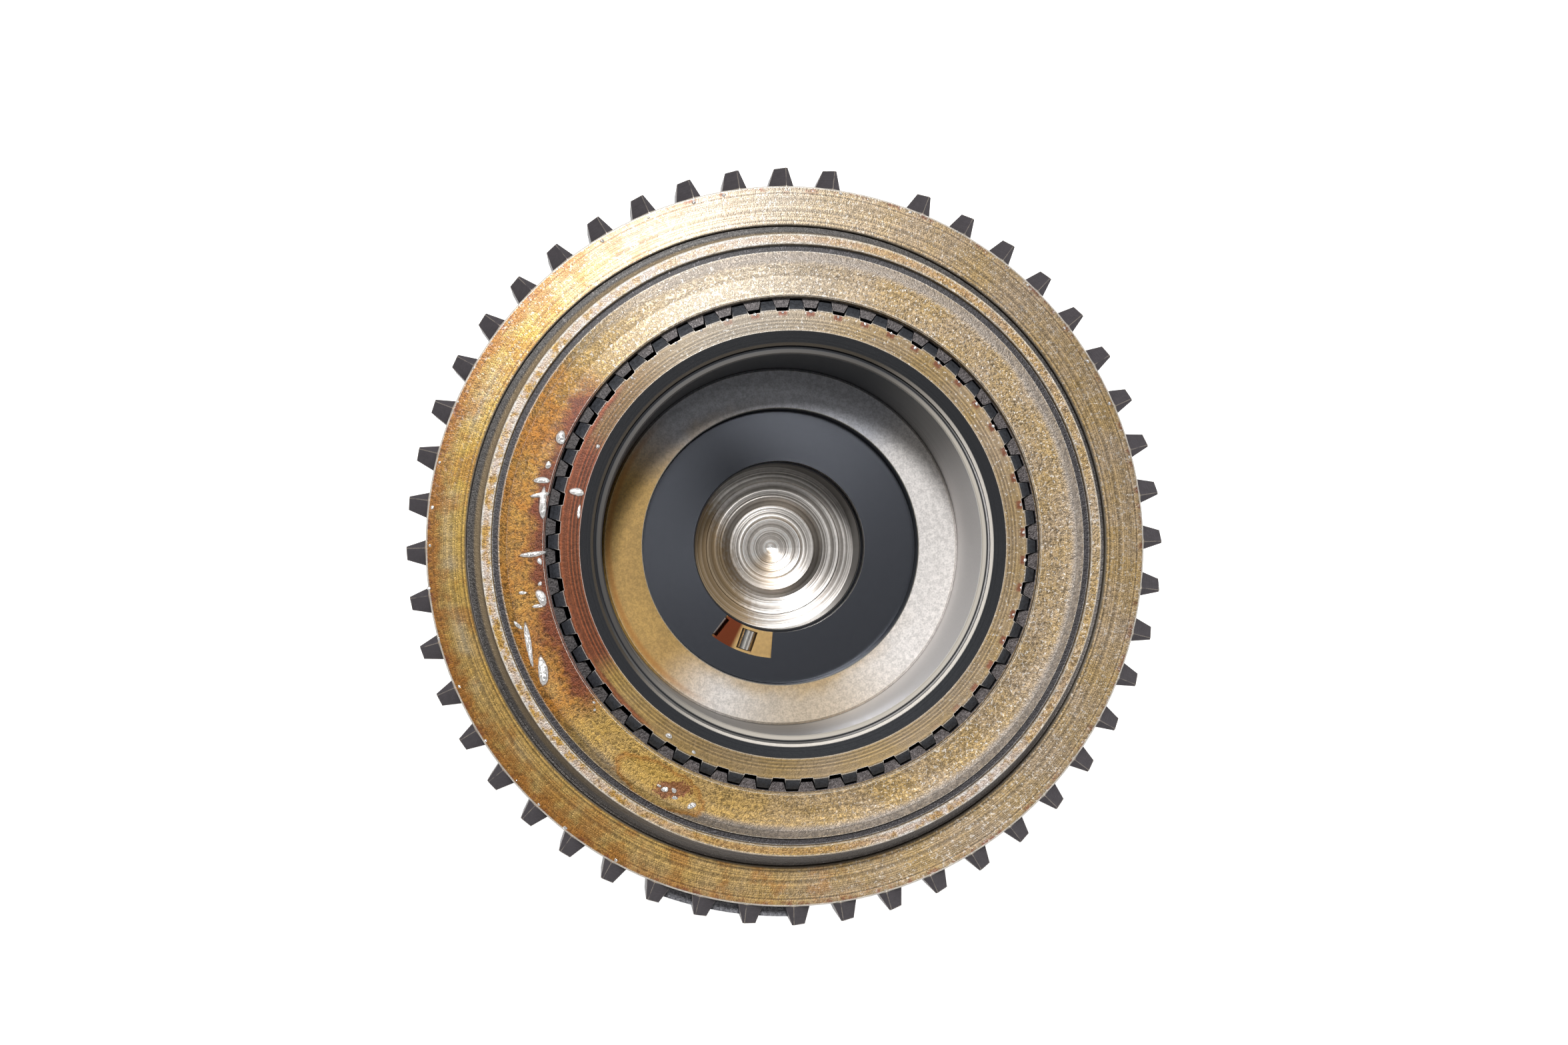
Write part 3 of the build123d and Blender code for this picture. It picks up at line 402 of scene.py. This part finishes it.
def flange_look():
    s = Shader("oiled_flange")
    marks = turning_marks(s, 2.2)
    front = FRONT / MM
    grain = grain_of(s, 0.75, 1.2)
    colour = s.shade(varnished(s, 1.2), s.spread(marks, 0.74, 1.04))
    colour = s.shade(colour, s.spread(grain, 0.55, 1.40))
    sparks = s.product(sparks_of(s, 0.62, 0.56), s.sector(40, 120, 60))
    colour = s.mix(s.product(sparks, 0.5), colour, SILVER)
    # painted highlight: brighter towards eleven o'clock
    colour = s.shade(colour, s.spread(s.sector(111, 15, 26), 1.0, 1.5))
    lilac = s.product(s.ring(FLANGE_BEVEL, 1.4), s.sector(0, 128, 40))
    colour = s.mix(s.product(lilac, 0.8), colour, s.shade(LILAC, s.spread(grain, 0.85, 1.15)))
    # painted shade: the bevel darker on the left side
    left_bevel_shade = s.product(s.ring(FLANGE_BEVEL, 1.0), s.sector(200, 70, 26))
    colour = s.shade(colour, s.spread(left_bevel_shade, 1.0, 0.62))
    wander = s.noise(0.16, 4, 0.65, at=s.shifted(12, 45, 0))
    reach = s.math("MULTIPLY_ADD", wander, 13.0, 44.2)
    left = s.product(s.sector(180, 38, 9), s.step(s.radius, 57.5, 57.0))
    patchy = s.spread(s.step(s.noise(0.22, 3, 0.6, at=s.shifted(50, 1, 7)), 0.3, 0.7), 0.35, 0.9)
    colour = s.mix(s.product(left, patchy), colour, s.shade(ORANGE, s.spread(grain, 0.40, 1.35)))
    inner_stain = s.product(left, s.step(s.math("SUBTRACT", s.radius, reach), 1.6, -1.6))
    colour = s.mix(s.product(inner_stain, 0.95), colour, s.shade(RED_BROWN, s.spread(grain, 0.6, 1.3)))
    puddle_x = s.math("SUBTRACT", s.x, -26.0)
    puddle_y = s.math("SUBTRACT", s.y, -46.0)
    along = s.math("ADD", s.product(puddle_x, 0.88), s.product(puddle_y, -0.47))
    across = s.math("ADD", s.product(puddle_x, 0.47), s.product(puddle_y, 0.88))
    oval = s.math("ADD", s.power(s.product(along, 1 / 10.5), 2), s.power(s.product(across, 1 / 4.2), 2))
    oval = s.math("MULTIPLY_ADD", s.math("SUBTRACT", wander, 0.5), 1.6, oval)
    puddle = s.step(oval, 1.05, 0.80)
    rim = s.product(puddle, s.step(oval, 0.45, 0.95))
    colour = s.mix(s.product(puddle, 0.65), colour, s.shade(AMBER, s.spread(grain, 0.7, 1.1)))
    colour = s.mix(s.product(rim, 0.85), colour, s.shade(ORANGE, s.spread(grain, 0.5, 0.9)))
    spot_x = s.math("ADD", s.x, 23.5)
    spot_y = s.math("ADD", s.y, 47.0)
    spot = s.math("ADD", s.power(s.product(spot_x, 1 / 4.0), 2), s.power(s.product(spot_y, 1 / 1.8), 2))
    spot = s.step(s.math("MULTIPLY_ADD", s.math("SUBTRACT", grain, 0.5), 0.6, spot), 1.1, 0.6)
    colour = s.mix(s.product(spot, 0.8), colour, RED_BROWN)
    land = s.ring(LAND, 0.1)
    # a pale film of oil on the land towards its upper left, and a painted highlight on the land at five
    # o'clock
    film = s.step(s.noise(0.45, 4, 0.65, at=s.shifted(5, 5, 85)), 0.40, 0.56)
    film_and_highlight_sectors = s.math("MAXIMUM", s.sector(165, 75, 50), s.sector(-58, 16, 18))
    film = s.product(land, film, film_and_highlight_sectors, s.spread(grain, 0.45, 0.95))
    colour = s.mix(film, colour, (0.64, 0.62, 0.61))
    specks = s.spread(s.noise(0.8, 3, 0.6, at=s.shifted(2, 60, 2)), 0.1, 1.0)
    land_middle = s.product(s.band(s.radius, 58.6, 59.6, 0.5), specks, s.sector(180, 150, 60), 0.5)
    colour = s.mix(land_middle, colour, s.shade(ORANGE, 0.9))
    # painted shade: the groove's floor near black
    groove = s.product(s.ring(FLANGE_GROOVE, 0.16), s.step(s.height, front - 0.25, front - 0.45))
    colour = s.mix(groove, colour, GROOVE)
    # painted shade in the cove: dark, and painted lighter in the lower sector where the boss's shadow
    # falls, with a painted gold reflection band on its upper left
    cove = s.product(s.outside(COVE_START), s.step(s.height, front - 0.1, front - 0.4))
    streaks = s.noise(1.6, 3, 0.6, at=s.math("ADD", s.radius, s.product(s.height, 0.7)), kind="1D")
    lit = s.product(s.band(s.radius, 60.7, 61.9, 0.7), s.sector(160, 80, 50))
    cove_colour = s.mix(s.step(streaks, 0.45, 0.7), COVE, s.shade(COVE, 1.7))
    cove_colour = s.shade(cove_colour, s.spread(s.sector(-70, 60, 50), 1.0, 4.6))
    cove_colour = s.mix(s.product(lit, s.spread(streaks, 0.4, 1.0)), cove_colour, (0.34, 0.25, 0.14))
    colour = s.mix(cove, colour, cove_colour)
    ends = s.product(s.inside(SPLINE_END), s.step(s.height, front - 1.2, front - 1.6))
    end_colour = s.mix(grain, (0.055, 0.046, 0.046), (0.135, 0.118, 0.118))
    end_colour = s.shade(end_colour, s.spread(s.sector(180, 50, 50), 1.0, 0.5))
    colour = s.mix(ends, colour, end_colour)
    # painted shade: the deep spaces between the spline teeth
    deep = s.product(s.inside(SPLINE_FOOT), s.step(s.height, front - 2.0, front - 2.4))
    colour = s.mix(deep, colour, PAINTED_SHADE_BLUE_BLACK)
    # painted highlight: lighter lines along the edges of the tooth ends
    edge = s.product(s.edges(0.24 * MM), s.step(s.height, front - 1.6, front - 1.0))
    colour = s.mix(s.product(edge, 0.8), colour, (0.92, 0.88, 0.82))
    rough = s.spread(grain, 0.32, 0.46)
    normal = s.bump(marks, 0.012 * MM, s.bump(grain, 0.055 * MM))
    s.turned_tangent(0.75)
    s.oil_film()
    return s.finish(colour, rough, metallic=0.5, normal=normal)


def hub_look():
    s = Shader("oiled_hub")
    front = FRONT / MM
    marks = turning_marks(s, 2.0)
    grain = grain_of(s, 0.6)
    colour = s.shade(varnished(s), s.spread(marks, 0.54, 1.16))
    colour = s.shade(colour, s.spread(grain, 0.76, 1.12))
    sparks = s.product(sparks_of(s, 0.7, 0.59), s.sector(60, 100, 60))
    colour = s.mix(s.product(sparks, 0.7), colour, SILVER)
    wander = s.noise(0.5, 4, 0.65, at=s.shifted(2, 33, 1))
    middle = s.product(s.sector(183, 30, 9), s.step(s.height, front - 0.3, front - 0.1))
    outer_line = s.product(s.sector(185, 46, 8), s.step(s.math("ADD", s.radius, wander), 44.5, 45.1))
    patches = s.spread(s.noise(0.2, 3, 0.6, at=s.shifted(9, 9, 3)), 0.3, 0.9)
    upper_left = s.product(s.sector(150, 18, 30), patches, 0.85)
    colour = s.mix(upper_left, colour, s.shade(RUSSET, s.spread(marks, 0.5, 1.5)))
    # painted shade towards six and eleven o'clock, and a painted highlight towards two o'clock
    colour = s.shade(colour, s.spread(s.sector(-78, 44, 40), 1.0, 0.68))
    colour = s.shade(colour, s.spread(s.sector(122, 32, 36), 1.0, 0.55))
    colour = s.shade(colour, s.spread(s.sector(30, 12, 26), 1.0, 1.3))
    stain = s.math("MAXIMUM", middle, s.product(outer_line, 0.9))
    brown = s.mix(marks, s.shade(RED_BROWN, 0.45), s.shade(RED_BROWN, 1.75))
    brown = s.shade(brown, s.spread(grain, 0.75, 1.25))
    colour = s.mix(s.product(stain, 0.92), colour, brown)
    turn = -math.radians(HUB_NOTCH) * SPLINE_TEETH
    notch = s.math("COSINE", s.math("MULTIPLY_ADD", s.angle, SPLINE_TEETH, turn))
    spots = s.product(s.step(notch, 0.35, 0.8), s.step(s.math("ADD", s.radius, wander), 44.3, 45.0))
    colour = s.mix(s.product(spots, s.sector(30, 75, 25), 0.85), colour, s.shade(RED_BROWN, 1.2))
    # painted shade: the bore's mouth near black; the lip a painted highlight, painted dark as shade on its
    # upper left
    mouth = s.product(s.inside(HUB_MOUTH), s.step(s.height, front, front - 0.15))
    lip = s.product(s.inside(HUB_LIP), s.step(s.height, front - 3.3, front - 3.1))
    lip_highlight_and_shade = s.mix(s.sector(140, 95, 50), (0.92, 0.86, 0.78), (0.085, 0.070, 0.052))
    mouth_shade_and_lip_highlight = s.mix(lip, (0.030, 0.032, 0.037), lip_highlight_and_shade)
    colour = s.mix(mouth, colour, mouth_shade_and_lip_highlight)
    # painted shade: the spaces of the hub's spline
    teeth = s.product(s.outside(HUB_TEETH), s.step(s.height, front - 0.03, front - 0.14))
    colour = s.mix(teeth, colour, s.mix(grain, s.shade(PAINTED_SHADE_BLUE_BLACK, 0.7), s.shade(PAINTED_SHADE_BLUE_BLACK, 1.3)))
    # painted highlight: lighter lines along the edges
    edge = s.product(s.edges(0.22 * MM), s.step(s.height, front - 0.8, front - 0.2))
    colour = s.mix(s.product(edge, 0.8), colour, (0.90, 0.85, 0.78))
    normal = s.bump(marks, 0.018 * MM, s.bump(grain, 0.012 * MM))
    s.turned_tangent(0.75)
    s.oil_film(0.12)
    return s.finish(colour, s.spread(grain, 0.34, 0.46), metallic=0.35, normal=normal)


def bush_look():
    s = Shader("bush_lining")
    rings = s.noise(0.7, 3, 0.6, at=s.height, kind="1D")
    top = top_of("hub_bush") / MM
    colour = s.mix(s.step(rings, 0.4, 0.65), (0.30, 0.29, 0.28), (0.36, 0.35, 0.34))
    fine = s.noise(2.4, 4, 0.7)
    # painted light: the wall nearly white on its lower right, where the key light falls
    satin_painted_light_and_shade = s.sector(-25, 52, 26)
    colour = s.mix(satin_painted_light_and_shade, colour, s.shade((0.95, 0.92, 0.90), s.spread(fine, 0.85, 1.05)))
    colour = s.mix(s.product(s.sector(128, 82, 46), 0.95), colour, SHADED_BORE)
    # painted highlight along the rim, painted dark as shade on its upper left and near black inside
    rim = s.step(s.height, top - 0.30, top - 0.12)
    rim_highlight_and_shade = s.mix(s.sector(140, 95, 50), (0.50, 0.46, 0.40), (0.060, 0.054, 0.048))
    colour = s.mix(rim, colour, s.mix(s.outside(BUSH_RIM), rim_highlight_and_shade, (0.036, 0.037, 0.041)))
    s.turned_tangent(0.4)
    return s.finish(colour, 0.5, metallic=0.2)


def carrier_look():
    s = Shader("satin_carrier")
    face = NECK_FACE / MM
    fine = s.noise(2.4, 4, 0.7)
    cloud = s.noise(0.10, 3, 0.6, at=s.shifted(7, 7, 7))
    grain = grain_of(s, 0.8)
    marks = turning_marks(s, 2.8)
    colour = s.mix(cloud, s.shade(STEEL, 0.75), s.shade(STEEL, 1.05))
    neck = s.product(s.step(s.height, face - 0.8, face - 0.4), s.step(s.radius, 28.75, 28.9))
    satin_painted_light_and_shade = s.shade(PALE_STEEL, s.spread(fine, 0.70, 0.92))
    # painted shadow: the neck face darker and bluish towards twelve o'clock, where the hub's lip casts its
    # shadow
    satin_painted_light_and_shade = s.mix(s.product(s.sector(98, 52, 20), 0.75), satin_painted_light_and_shade, (0.42, 0.44, 0.50))
    wander = s.noise(0.14, 3, 0.6, at=s.shifted(20, 2, 5))
    gold = s.sector(190, 46, 30)
    low = s.sector(-80, 22, 40)
    satin_painted_light_and_shade = s.mix(s.product(low, 0.9), satin_painted_light_and_shade, s.shade((0.47, 0.38, 0.27), s.spread(fine, 0.8, 1.2)))
    inner = s.step(s.math("MULTIPLY_ADD", wander, 6, s.radius), 35.5, 31.5)
    inner = s.product(inner, s.sector(215, 100, 60))
    satin_painted_light_and_shade = s.mix(s.product(gold, 0.9), satin_painted_light_and_shade, s.mix(wander, (0.35, 0.185, 0.012), (0.54, 0.31, 0.032)))
    satin_painted_light_and_shade = s.mix(s.product(inner, 0.6), satin_painted_light_and_shade, (0.40, 0.25, 0.07))
    satin_painted_light_and_shade = s.shade(satin_painted_light_and_shade, s.spread(grain, 0.78, 1.16))
    tide = s.product(gold, s.band(s.radius, 35.2, 36.3, 1.0))
    satin_painted_light_and_shade = s.mix(s.product(tide, 0.6), satin_painted_light_and_shade, ORANGE)
    colour = s.mix(neck, colour, satin_painted_light_and_shade)
    # painted shade: the neck's bore near black
    neck_bore_shade = s.product(s.inside(NECK_BORE), s.step(s.height, 45, 50))
    colour = s.mix(neck_bore_shade, colour, PAINTED_SHADE_BLUE_BLACK)
    colour = s.shade(colour, s.spread(marks, 0.975, 1.025))
    # painted highlight: lighter lines along the edges
    edge = s.product(s.edges(0.2 * MM), s.step(s.height, face - 0.6, face - 0.3))
    colour = s.mix(s.product(edge, 0.5), colour, (0.9, 0.82, 0.66))
    s.turned_tangent(0.35)
    rough = s.spread(fine, 0.5, 0.62)
    return s.finish(colour, rough, metallic=0.15, normal=s.bump(fine, 0.012 * MM))


def sun_look():
    s = Shader("turned_sun_gear")
    face = SUN_FACE / MM
    rings = s.noise(1.1, 3, 0.6, at=s.radius, kind="1D")
    fine = s.noise(1.2, 4, 0.6)
    pilot = s.product(s.inside(PILOT_MOUTH), s.step(s.height, face - 11.0, face - 11.6))
    wall = s.product(s.step(s.radius, 17.8, 17.6), s.step(s.height, face - 11.8, face - 11.4))
    bright = s.mix(s.step(rings, 0.36, 0.64), (0.34, 0.31, 0.28), (0.78, 0.74, 0.70))
    bright = s.shade(bright, s.spread(fine, 0.75, 1.25))
    # painted highlight: the cone in the middle brighter
    bright = s.shade(bright, s.spread(s.step(s.radius, 7.4, 6.6), 1.0, 1.5))
    # painted shade: darker in the valley ring
    valley_shade = s.band(s.radius, 9.3, 10.6, 0.8)
    bright = s.mix(s.product(valley_shade, 0.5), bright, (0.24, 0.21, 0.18))
    brown = s.step(s.math("MULTIPLY_ADD", fine, 5, s.math("ADD", s.x, s.product(s.y, 0.35))), -4, -10)
    bright = s.mix(s.product(brown, 0.85), bright, (0.26, 0.17, 0.075))
    # painted shade: darker towards the lower right, outside the middle
    lower_right_shade = s.product(s.sector(-52, 50, 40), s.step(s.radius, 7.5, 9.5))
    bright = s.shade(bright, s.spread(lower_right_shade, 1.0, 0.55))
    warm = s.product(s.sector(-100, 40, 40), s.step(s.radius, 12, 4), 0.6)
    bright = s.mix(warm, bright, (0.42, 0.28, 0.14))
    steel = s.mix(fine, s.shade(STEEL, 0.8), STEEL)
    # painted shade: the gear's teeth deep in the bore near black, and the pilot's wall dark grey
    outside = s.product(s.step(s.radius, 17.6, 17.8), s.step(s.height, face - 5, face - 4))
    colour = s.mix(outside, steel, PAINTED_SHADE_BLUE_BLACK)
    colour = s.mix(wall, colour, (0.13, 0.125, 0.12))
    colour = s.mix(pilot, colour, bright)
    s.turned_tangent(0.5)
    rough = s.spread(rings, 0.26, 0.40)
    return s.finish(colour, rough, metallic=0.8, normal=s.bump(rings, 0.14 * MM), coat=0.2)


def bearing_look(name, lit_colour, dark, rough):
    """Bearing metal painted dark as shade, apart from one painted pool of light at seven o'clock."""
    s = Shader(name)
    fine = s.noise(1.2, 3, 0.6)
    # painted light: a pool of light on the sector at seven o'clock; elsewhere painted dark as shade
    painted_light_pool = s.product(s.sector(-111, 18, 2), s.step(s.height, 55, 58))
    red = s.sector(-121, 6, 3)
    lit = s.mix(red, s.shade(lit_colour, s.spread(fine, 0.75, 1.25)), (0.15, 0.036, 0.014))
    colour = s.mix(painted_light_pool, s.shade(dark, s.spread(fine, 0.8, 1.2)), lit)
    normal = s.bump(fine, 0.01 * MM)
    return s.finish(colour, rough, metallic=0.95, normal=normal, coat=0.2, coat_rough=0.08)


def plain_look(name, light, dark, rough):
    """Machined or ground metal with soft clouds of oil and fine marks."""
    s = Shader(name)
    cloud = s.noise(0.22, 4, 0.65)
    fine = s.noise(2.0, 3, 0.6, at=s.shifted(4, 9, 2))
    colour = s.mix(s.step(cloud, 0.3, 0.7), dark, light)
    colour = s.shade(colour, s.spread(fine, 0.85, 1.15))
    # painted highlight: lighter lines along the edges
    edge = s.edges(0.15 * MM)
    colour = s.mix(s.product(edge, 0.35), colour, (0.80, 0.76, 0.70))
    rough = s.spread(cloud, rough - 0.06, rough + 0.08)
    return s.finish(colour, rough, metallic=0.95, normal=s.bump(fine, 0.008 * MM), coat=0.15)


def oil_look():
    """Wet beads that mirror the light."""
    s = Shader("oil_beads")
    tint = s.mix(s.noise(0.6, 2), (0.84, 0.80, 0.75), (1.0, 0.99, 0.98))
    wrinkles = s.bump(s.noise(1.3, 3, 0.6), 0.35 * MM)
    return s.finish(tint, 0.14, metallic=0.75, normal=wrinkles, coat=1.0, coat_rough=0.05)


def coated_race_look():
    """Smooth blackened steel that mirrors the darkest part of the sky evenly, with painted shade where it
    would mirror the key light.
    """
    s = Shader("blackened_race")
    fine = s.noise(0.8, 3, 0.6)
    colour = s.mix(fine, (0.15, 0.16, 0.185), (0.19, 0.20, 0.23))
    # painted shade: darker towards eleven o'clock, over the key light's reflection
    colour = s.shade(colour, s.spread(s.sector(122, 40, 85), 1.0, 0.20))
    return s.finish(colour, 0.17, metallic=1.0)


LOOKS = {
    "ring_gear": ring_gear_look(),
    "ring_gear_flange": flange_look(),
    "ring_gear_hub": hub_look(),
    "hub_bush": bush_look(),
    "carrier_front_plate": carrier_look(),
    "sun_gear": sun_look(),
    "front_thrust_rollers": bearing_look("front_rollers", (0.92, 0.88, 0.82), (0.020, 0.022, 0.026), 0.18),
    "front_thrust_cage": bearing_look("front_cage", (0.55, 0.36, 0.15), (0.022, 0.024, 0.028), 0.30),
    "front_thrust_outer_race": coated_race_look(),
    "front_thrust_race": bearing_look("front_race", (0.35, 0.27, 0.18), (0.020, 0.022, 0.026), 0.25),
}
SNAP_LOOK = plain_look("blued_spring_steel", (0.22, 0.20, 0.19), (0.10, 0.09, 0.09), 0.38)
STEEL_LOOK = plain_look("ground_steel", (0.55, 0.51, 0.45), (0.38, 0.34, 0.28), 0.34)
CARRIER_REAR_LOOK = plain_look("machined_carrier", (0.50, 0.46, 0.40), (0.36, 0.32, 0.26), 0.42)
BRONZE_LOOK = plain_look("satin_bronze", (0.62, 0.42, 0.20), (0.42, 0.26, 0.11), 0.36)
BLACK_LOOK = plain_look("black_oxide", (0.050, 0.050, 0.055), (0.030, 0.030, 0.033), 0.42)
BEARING_LOOK = plain_look("bearing_steel", (0.72, 0.70, 0.67), (0.50, 0.47, 0.43), 0.20)

SHARED_LOOKS = (
    (SNAP_LOOK, ("flange_snap_ring", "hub_lock_ring")),
    (BRONZE_LOOK, ("hub_thrust_washer", "carrier_bush", "planet_washers")),
    (BLACK_LOOK, ("carrier_screws", "pin_lock_pins")),
    (CARRIER_REAR_LOOK, ("carrier_rear_plate",)),
    (BEARING_LOOK, ("planet_needles", "rear_thrust_")),
    (STEEL_LOOK, ("planet_gear", "planet_pin")),
)


def look_for(node):
    """Material of a CAD node, by its name."""
    if node in LOOKS:
        return LOOKS[node]
    for look, starts in SHARED_LOOKS:
        if node.startswith(starts):
            return look
    return STEEL_LOOK


for node_name, node_object in NODES.items():
    node_object.data.materials.clear()
    node_object.data.materials.append(look_for(node_name))


# ---- oil beads -----------------------------------------------------------------------------
OIL = oil_look()
BEAD_RINGS = 5
BEAD_SIDES = 20
BEAD_RISE = 0.30


def add_bead(mesh, rng, level, radius, angle, length, width, turn):
    """One flattened drop: radius, length and width in millimetres, turn from the tangent in degrees."""
    direction = math.radians(angle)
    centre = Vector((radius * math.cos(direction), radius * math.sin(direction), 0)) * MM
    along = direction + math.pi / 2 + math.radians(turn)
    wobble = [rng.uniform(0, 2 * math.pi) for _ in range(3)]
    tall = BEAD_RISE * min(length, width) * MM
    apex = mesh.verts.new((centre.x, centre.y, level + tall))
    loops = []
    for ring in range(1, BEAD_RINGS + 1):
        share = ring / BEAD_RINGS
        lift = math.sqrt(max(0.0, 1 - share**2.4))
        loop = []
        for side in range(BEAD_SIDES):
            around = 2 * math.pi * side / BEAD_SIDES
            uneven = 1 + 0.10 * math.sin(2 * around + wobble[0]) + 0.07 * math.sin(3 * around + wobble[1])
            u = 0.5 * length * MM * share * uneven * math.cos(around)
            v = 0.5 * width * MM * share * uneven * math.sin(around)
            x = centre.x + u * math.cos(along) - v * math.sin(along)
            y = centre.y + u * math.sin(along) + v * math.cos(along)
            loop.append(mesh.verts.new((x, y, level + tall * lift)))
        loops.append(loop)
    for side in range(BEAD_SIDES):
        after = (side + 1) % BEAD_SIDES
        mesh.faces.new((apex, loops[0][side], loops[0][after]))
        for inner, outer in zip(loops, loops[1:]):
            mesh.faces.new((inner[side], outer[side], outer[after], inner[after]))
    mesh.faces.new(list(reversed(loops[-1])))


def beads(name, level, drops, seed):
    """One piece of several drops that lie on a face of the ring gear's body."""
    rng = random.Random(seed)
    mesh = bmesh.new()
    for drop in drops:
        add_bead(mesh, rng, level, *drop)
    data = bpy.data.meshes.new(name)
    mesh.to_mesh(data)
    mesh.free()
    for polygon in data.polygons:
        polygon.use_smooth = True
    piece = bpy.data.objects.new(name, data)
    bpy.context.scene.collection.objects.link(piece)
    data.materials.append(OIL)
    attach(piece, "ring")


# radius, angle, length, width and turn of each drop
FLANGE_DROPS = (
    (49.3, 155.7, 2.8, 2.3, 10),
    (49.6, 162.4, 1.5, 1.4, 0),
    (50.0, 166.0, 1.5, 3.2, 10),
    (48.9, 171.0, 6.4, 1.6, 4),
    (49.7, 169.2, 1.2, 3.6, 20),
    (50.2, 182.3, 1.3, 5.0, 5),
    (49.0, 183.9, 1.6, 1.0, 5),
    (49.4, 188.9, 0.9, 0.9, 0),
    (49.6, 192.0, 3.4, 2.2, 12),
    (50.6, 193.6, 2.2, 0.9, 80),
    (52.9, 190.2, 1.6, 0.8, 78),
    (54.4, 200.6, 8.8, 1.3, -9),
    (54.0, 206.8, 6.6, 2.0, -22),
    (55.2, 196.4, 2.2, 0.9, 30),
    (49.0, 218.2, 0.7, 0.6, 0),
    (49.8, 219.6, 0.6, 0.6, 0),
    (53.2, 242.0, 1.7, 1.1, 20),
    (52.6, 243.8, 1.3, 0.9, -10),
    (53.8, 244.6, 1.2, 0.8, 30),
    (53.1, 240.6, 0.9, 0.6, 0),
    (53.9, 248.4, 1.9, 1.4, 40),
)
HUB_DROPS = (
    (43.0, 166.7, 1.8, 3.0, 12),
    (41.9, 171.6, 2.8, 0.8, 0),
    (42.2, 153.8, 1.0, 0.8, 0),
    (44.0, 236.6, 1.6, 1.0, 20),
    (44.4, 244.0, 0.9, 0.7, 0),
)
RIM_PITCH = 7.5
RIM_FIRST = 83.85
notch_rng = random.Random(4)
NOTCH_DROPS = tuple(
    (44.95 + notch_rng.uniform(-0.25, 0.2), HUB_NOTCH + place * 360 / SPLINE_TEETH, size, size * 0.9, 0)
    for place in range(-3, 21)
    for size in (notch_rng.uniform(0.35, 0.85),)
)
rim_rng = random.Random(9)
RIM_DROPS = tuple(
    (
        70.8 + rim_rng.uniform(-0.5, 0.3),
        RIM_FIRST + place * RIM_PITCH + rim_rng.uniform(-2.5, 2.5),
        size,
        size * 0.8,
        0,
    )
    for place in range(-9, 22)
    for size in (rim_rng.uniform(0.3, 0.95),)
)
beads("oil_beads_flange", FRONT - 0.16 * MM, FLANGE_DROPS, 1)
beads("oil_beads_hub", FRONT - 0.02 * MM, HUB_DROPS + NOTCH_DROPS, 2)
beads("oil_beads_ring_gear", RING_FACE - 0.02 * MM, RIM_DROPS, 3)


# ---- floor, light and camera ---------------------------------------------------------------
FLOOR_GAP = 0.2 * MM
LIT_PLACE = Vector((0, 0, 0.08))
CAMERA_PLACE = Vector((-0.037, -0.006, FRONT + 0.400))
CAMERA_TARGET = Vector((-0.0012, 0.0044, RING_FACE))
LENS = 47.85


def floor():
    """Plain pale floor just under the set."""
    bpy.ops.mesh.primitive_plane_add(size=8.0, location=(0, 0, CAD_BOX[0][2] - FLOOR_GAP))
    plane = bpy.context.object
    plane.name = "floor"
    material = bpy.data.materials.new("pale_floor")
    material.use_nodes = True
    surface = material.node_tree.nodes["Principled BSDF"]
    surface.inputs["Base Color"].default_value = (0.86, 0.86, 0.86, 1)
    surface.inputs["Roughness"].default_value = 0.9
    surface.inputs["Specular IOR Level"].default_value = 0.1
    surface.inputs["Emission Color"].default_value = (1, 1, 1, 1)
    surface.inputs["Emission Strength"].default_value = 0.85
    plane.data.materials.append(material)


def area_light(name, azimuth, tilt, distance, size, power):
    """Square area light, tilt degrees off the gear axis towards an azimuth."""
    light = bpy.data.lights.new(name, "AREA")
    light.size = size
    light.energy = power
    lamp = bpy.data.objects.new(name, light)
    bpy.context.scene.collection.objects.link(lamp)
    aside = math.sin(math.radians(tilt))
    turn = math.radians(azimuth)
    off = Vector((aside * math.cos(turn), aside * math.sin(turn), math.cos(math.radians(tilt))))
    lamp.location = LIT_PLACE + off * distance
    lamp.rotation_euler = off.to_track_quat("Z", "Y").to_euler()


def world():
    """Pale sky that grows darker towards the zenith, so deep bores stay dark."""
    scene_world = bpy.data.worlds.new("studio")
    scene_world.use_nodes = True
    tree = scene_world.node_tree
    direction = tree.nodes.new("ShaderNodeTexCoord")
    split = tree.nodes.new("ShaderNodeSeparateXYZ")
    tree.links.new(direction.outputs["Generated"], split.inputs[0])
    fall = tree.nodes.new("ShaderNodeMapRange")
    fall.interpolation_type = "SMOOTHSTEP"
    fall.inputs["From Min"].default_value = 0.10
    fall.inputs["From Max"].default_value = 0.92
    fall.inputs["To Min"].default_value = 0.75
    fall.inputs["To Max"].default_value = 0.15
    tree.links.new(split.outputs[2], fall.inputs["Value"])
    background = tree.nodes["Background"]
    tree.links.new(fall.outputs[0], background.inputs["Color"])
    background.inputs["Strength"].default_value = 1.0
    bpy.context.scene.world = scene_world


def camera():
    """Camera above the front and a little to its left, with twelve o'clock upwards."""
    lens = bpy.data.cameras.new("camera")
    lens.lens = LENS
    lens.sensor_width = 36.0
    lens.clip_start = 0.01
    viewer = bpy.data.objects.new("camera", lens)
    bpy.context.scene.collection.objects.link(viewer)
    forward = (CAMERA_TARGET - CAMERA_PLACE).normalized()
    right = forward.cross(Vector((0, 1, 0))).normalized()
    turn = Matrix((right, right.cross(forward), -forward)).transposed()
    viewer.matrix_world = Matrix.Translation(CAMERA_PLACE) @ turn.to_4x4()
    bpy.context.scene.camera = viewer


floor()
world()
area_light("key", azimuth=102, tilt=20.5, distance=1.3, size=0.18, power=12.5)
area_light("pilot_light", azimuth=80, tilt=9, distance=1.6, size=0.10, power=0.7)
camera()
bpy.context.scene.view_settings.view_transform = "Standard"
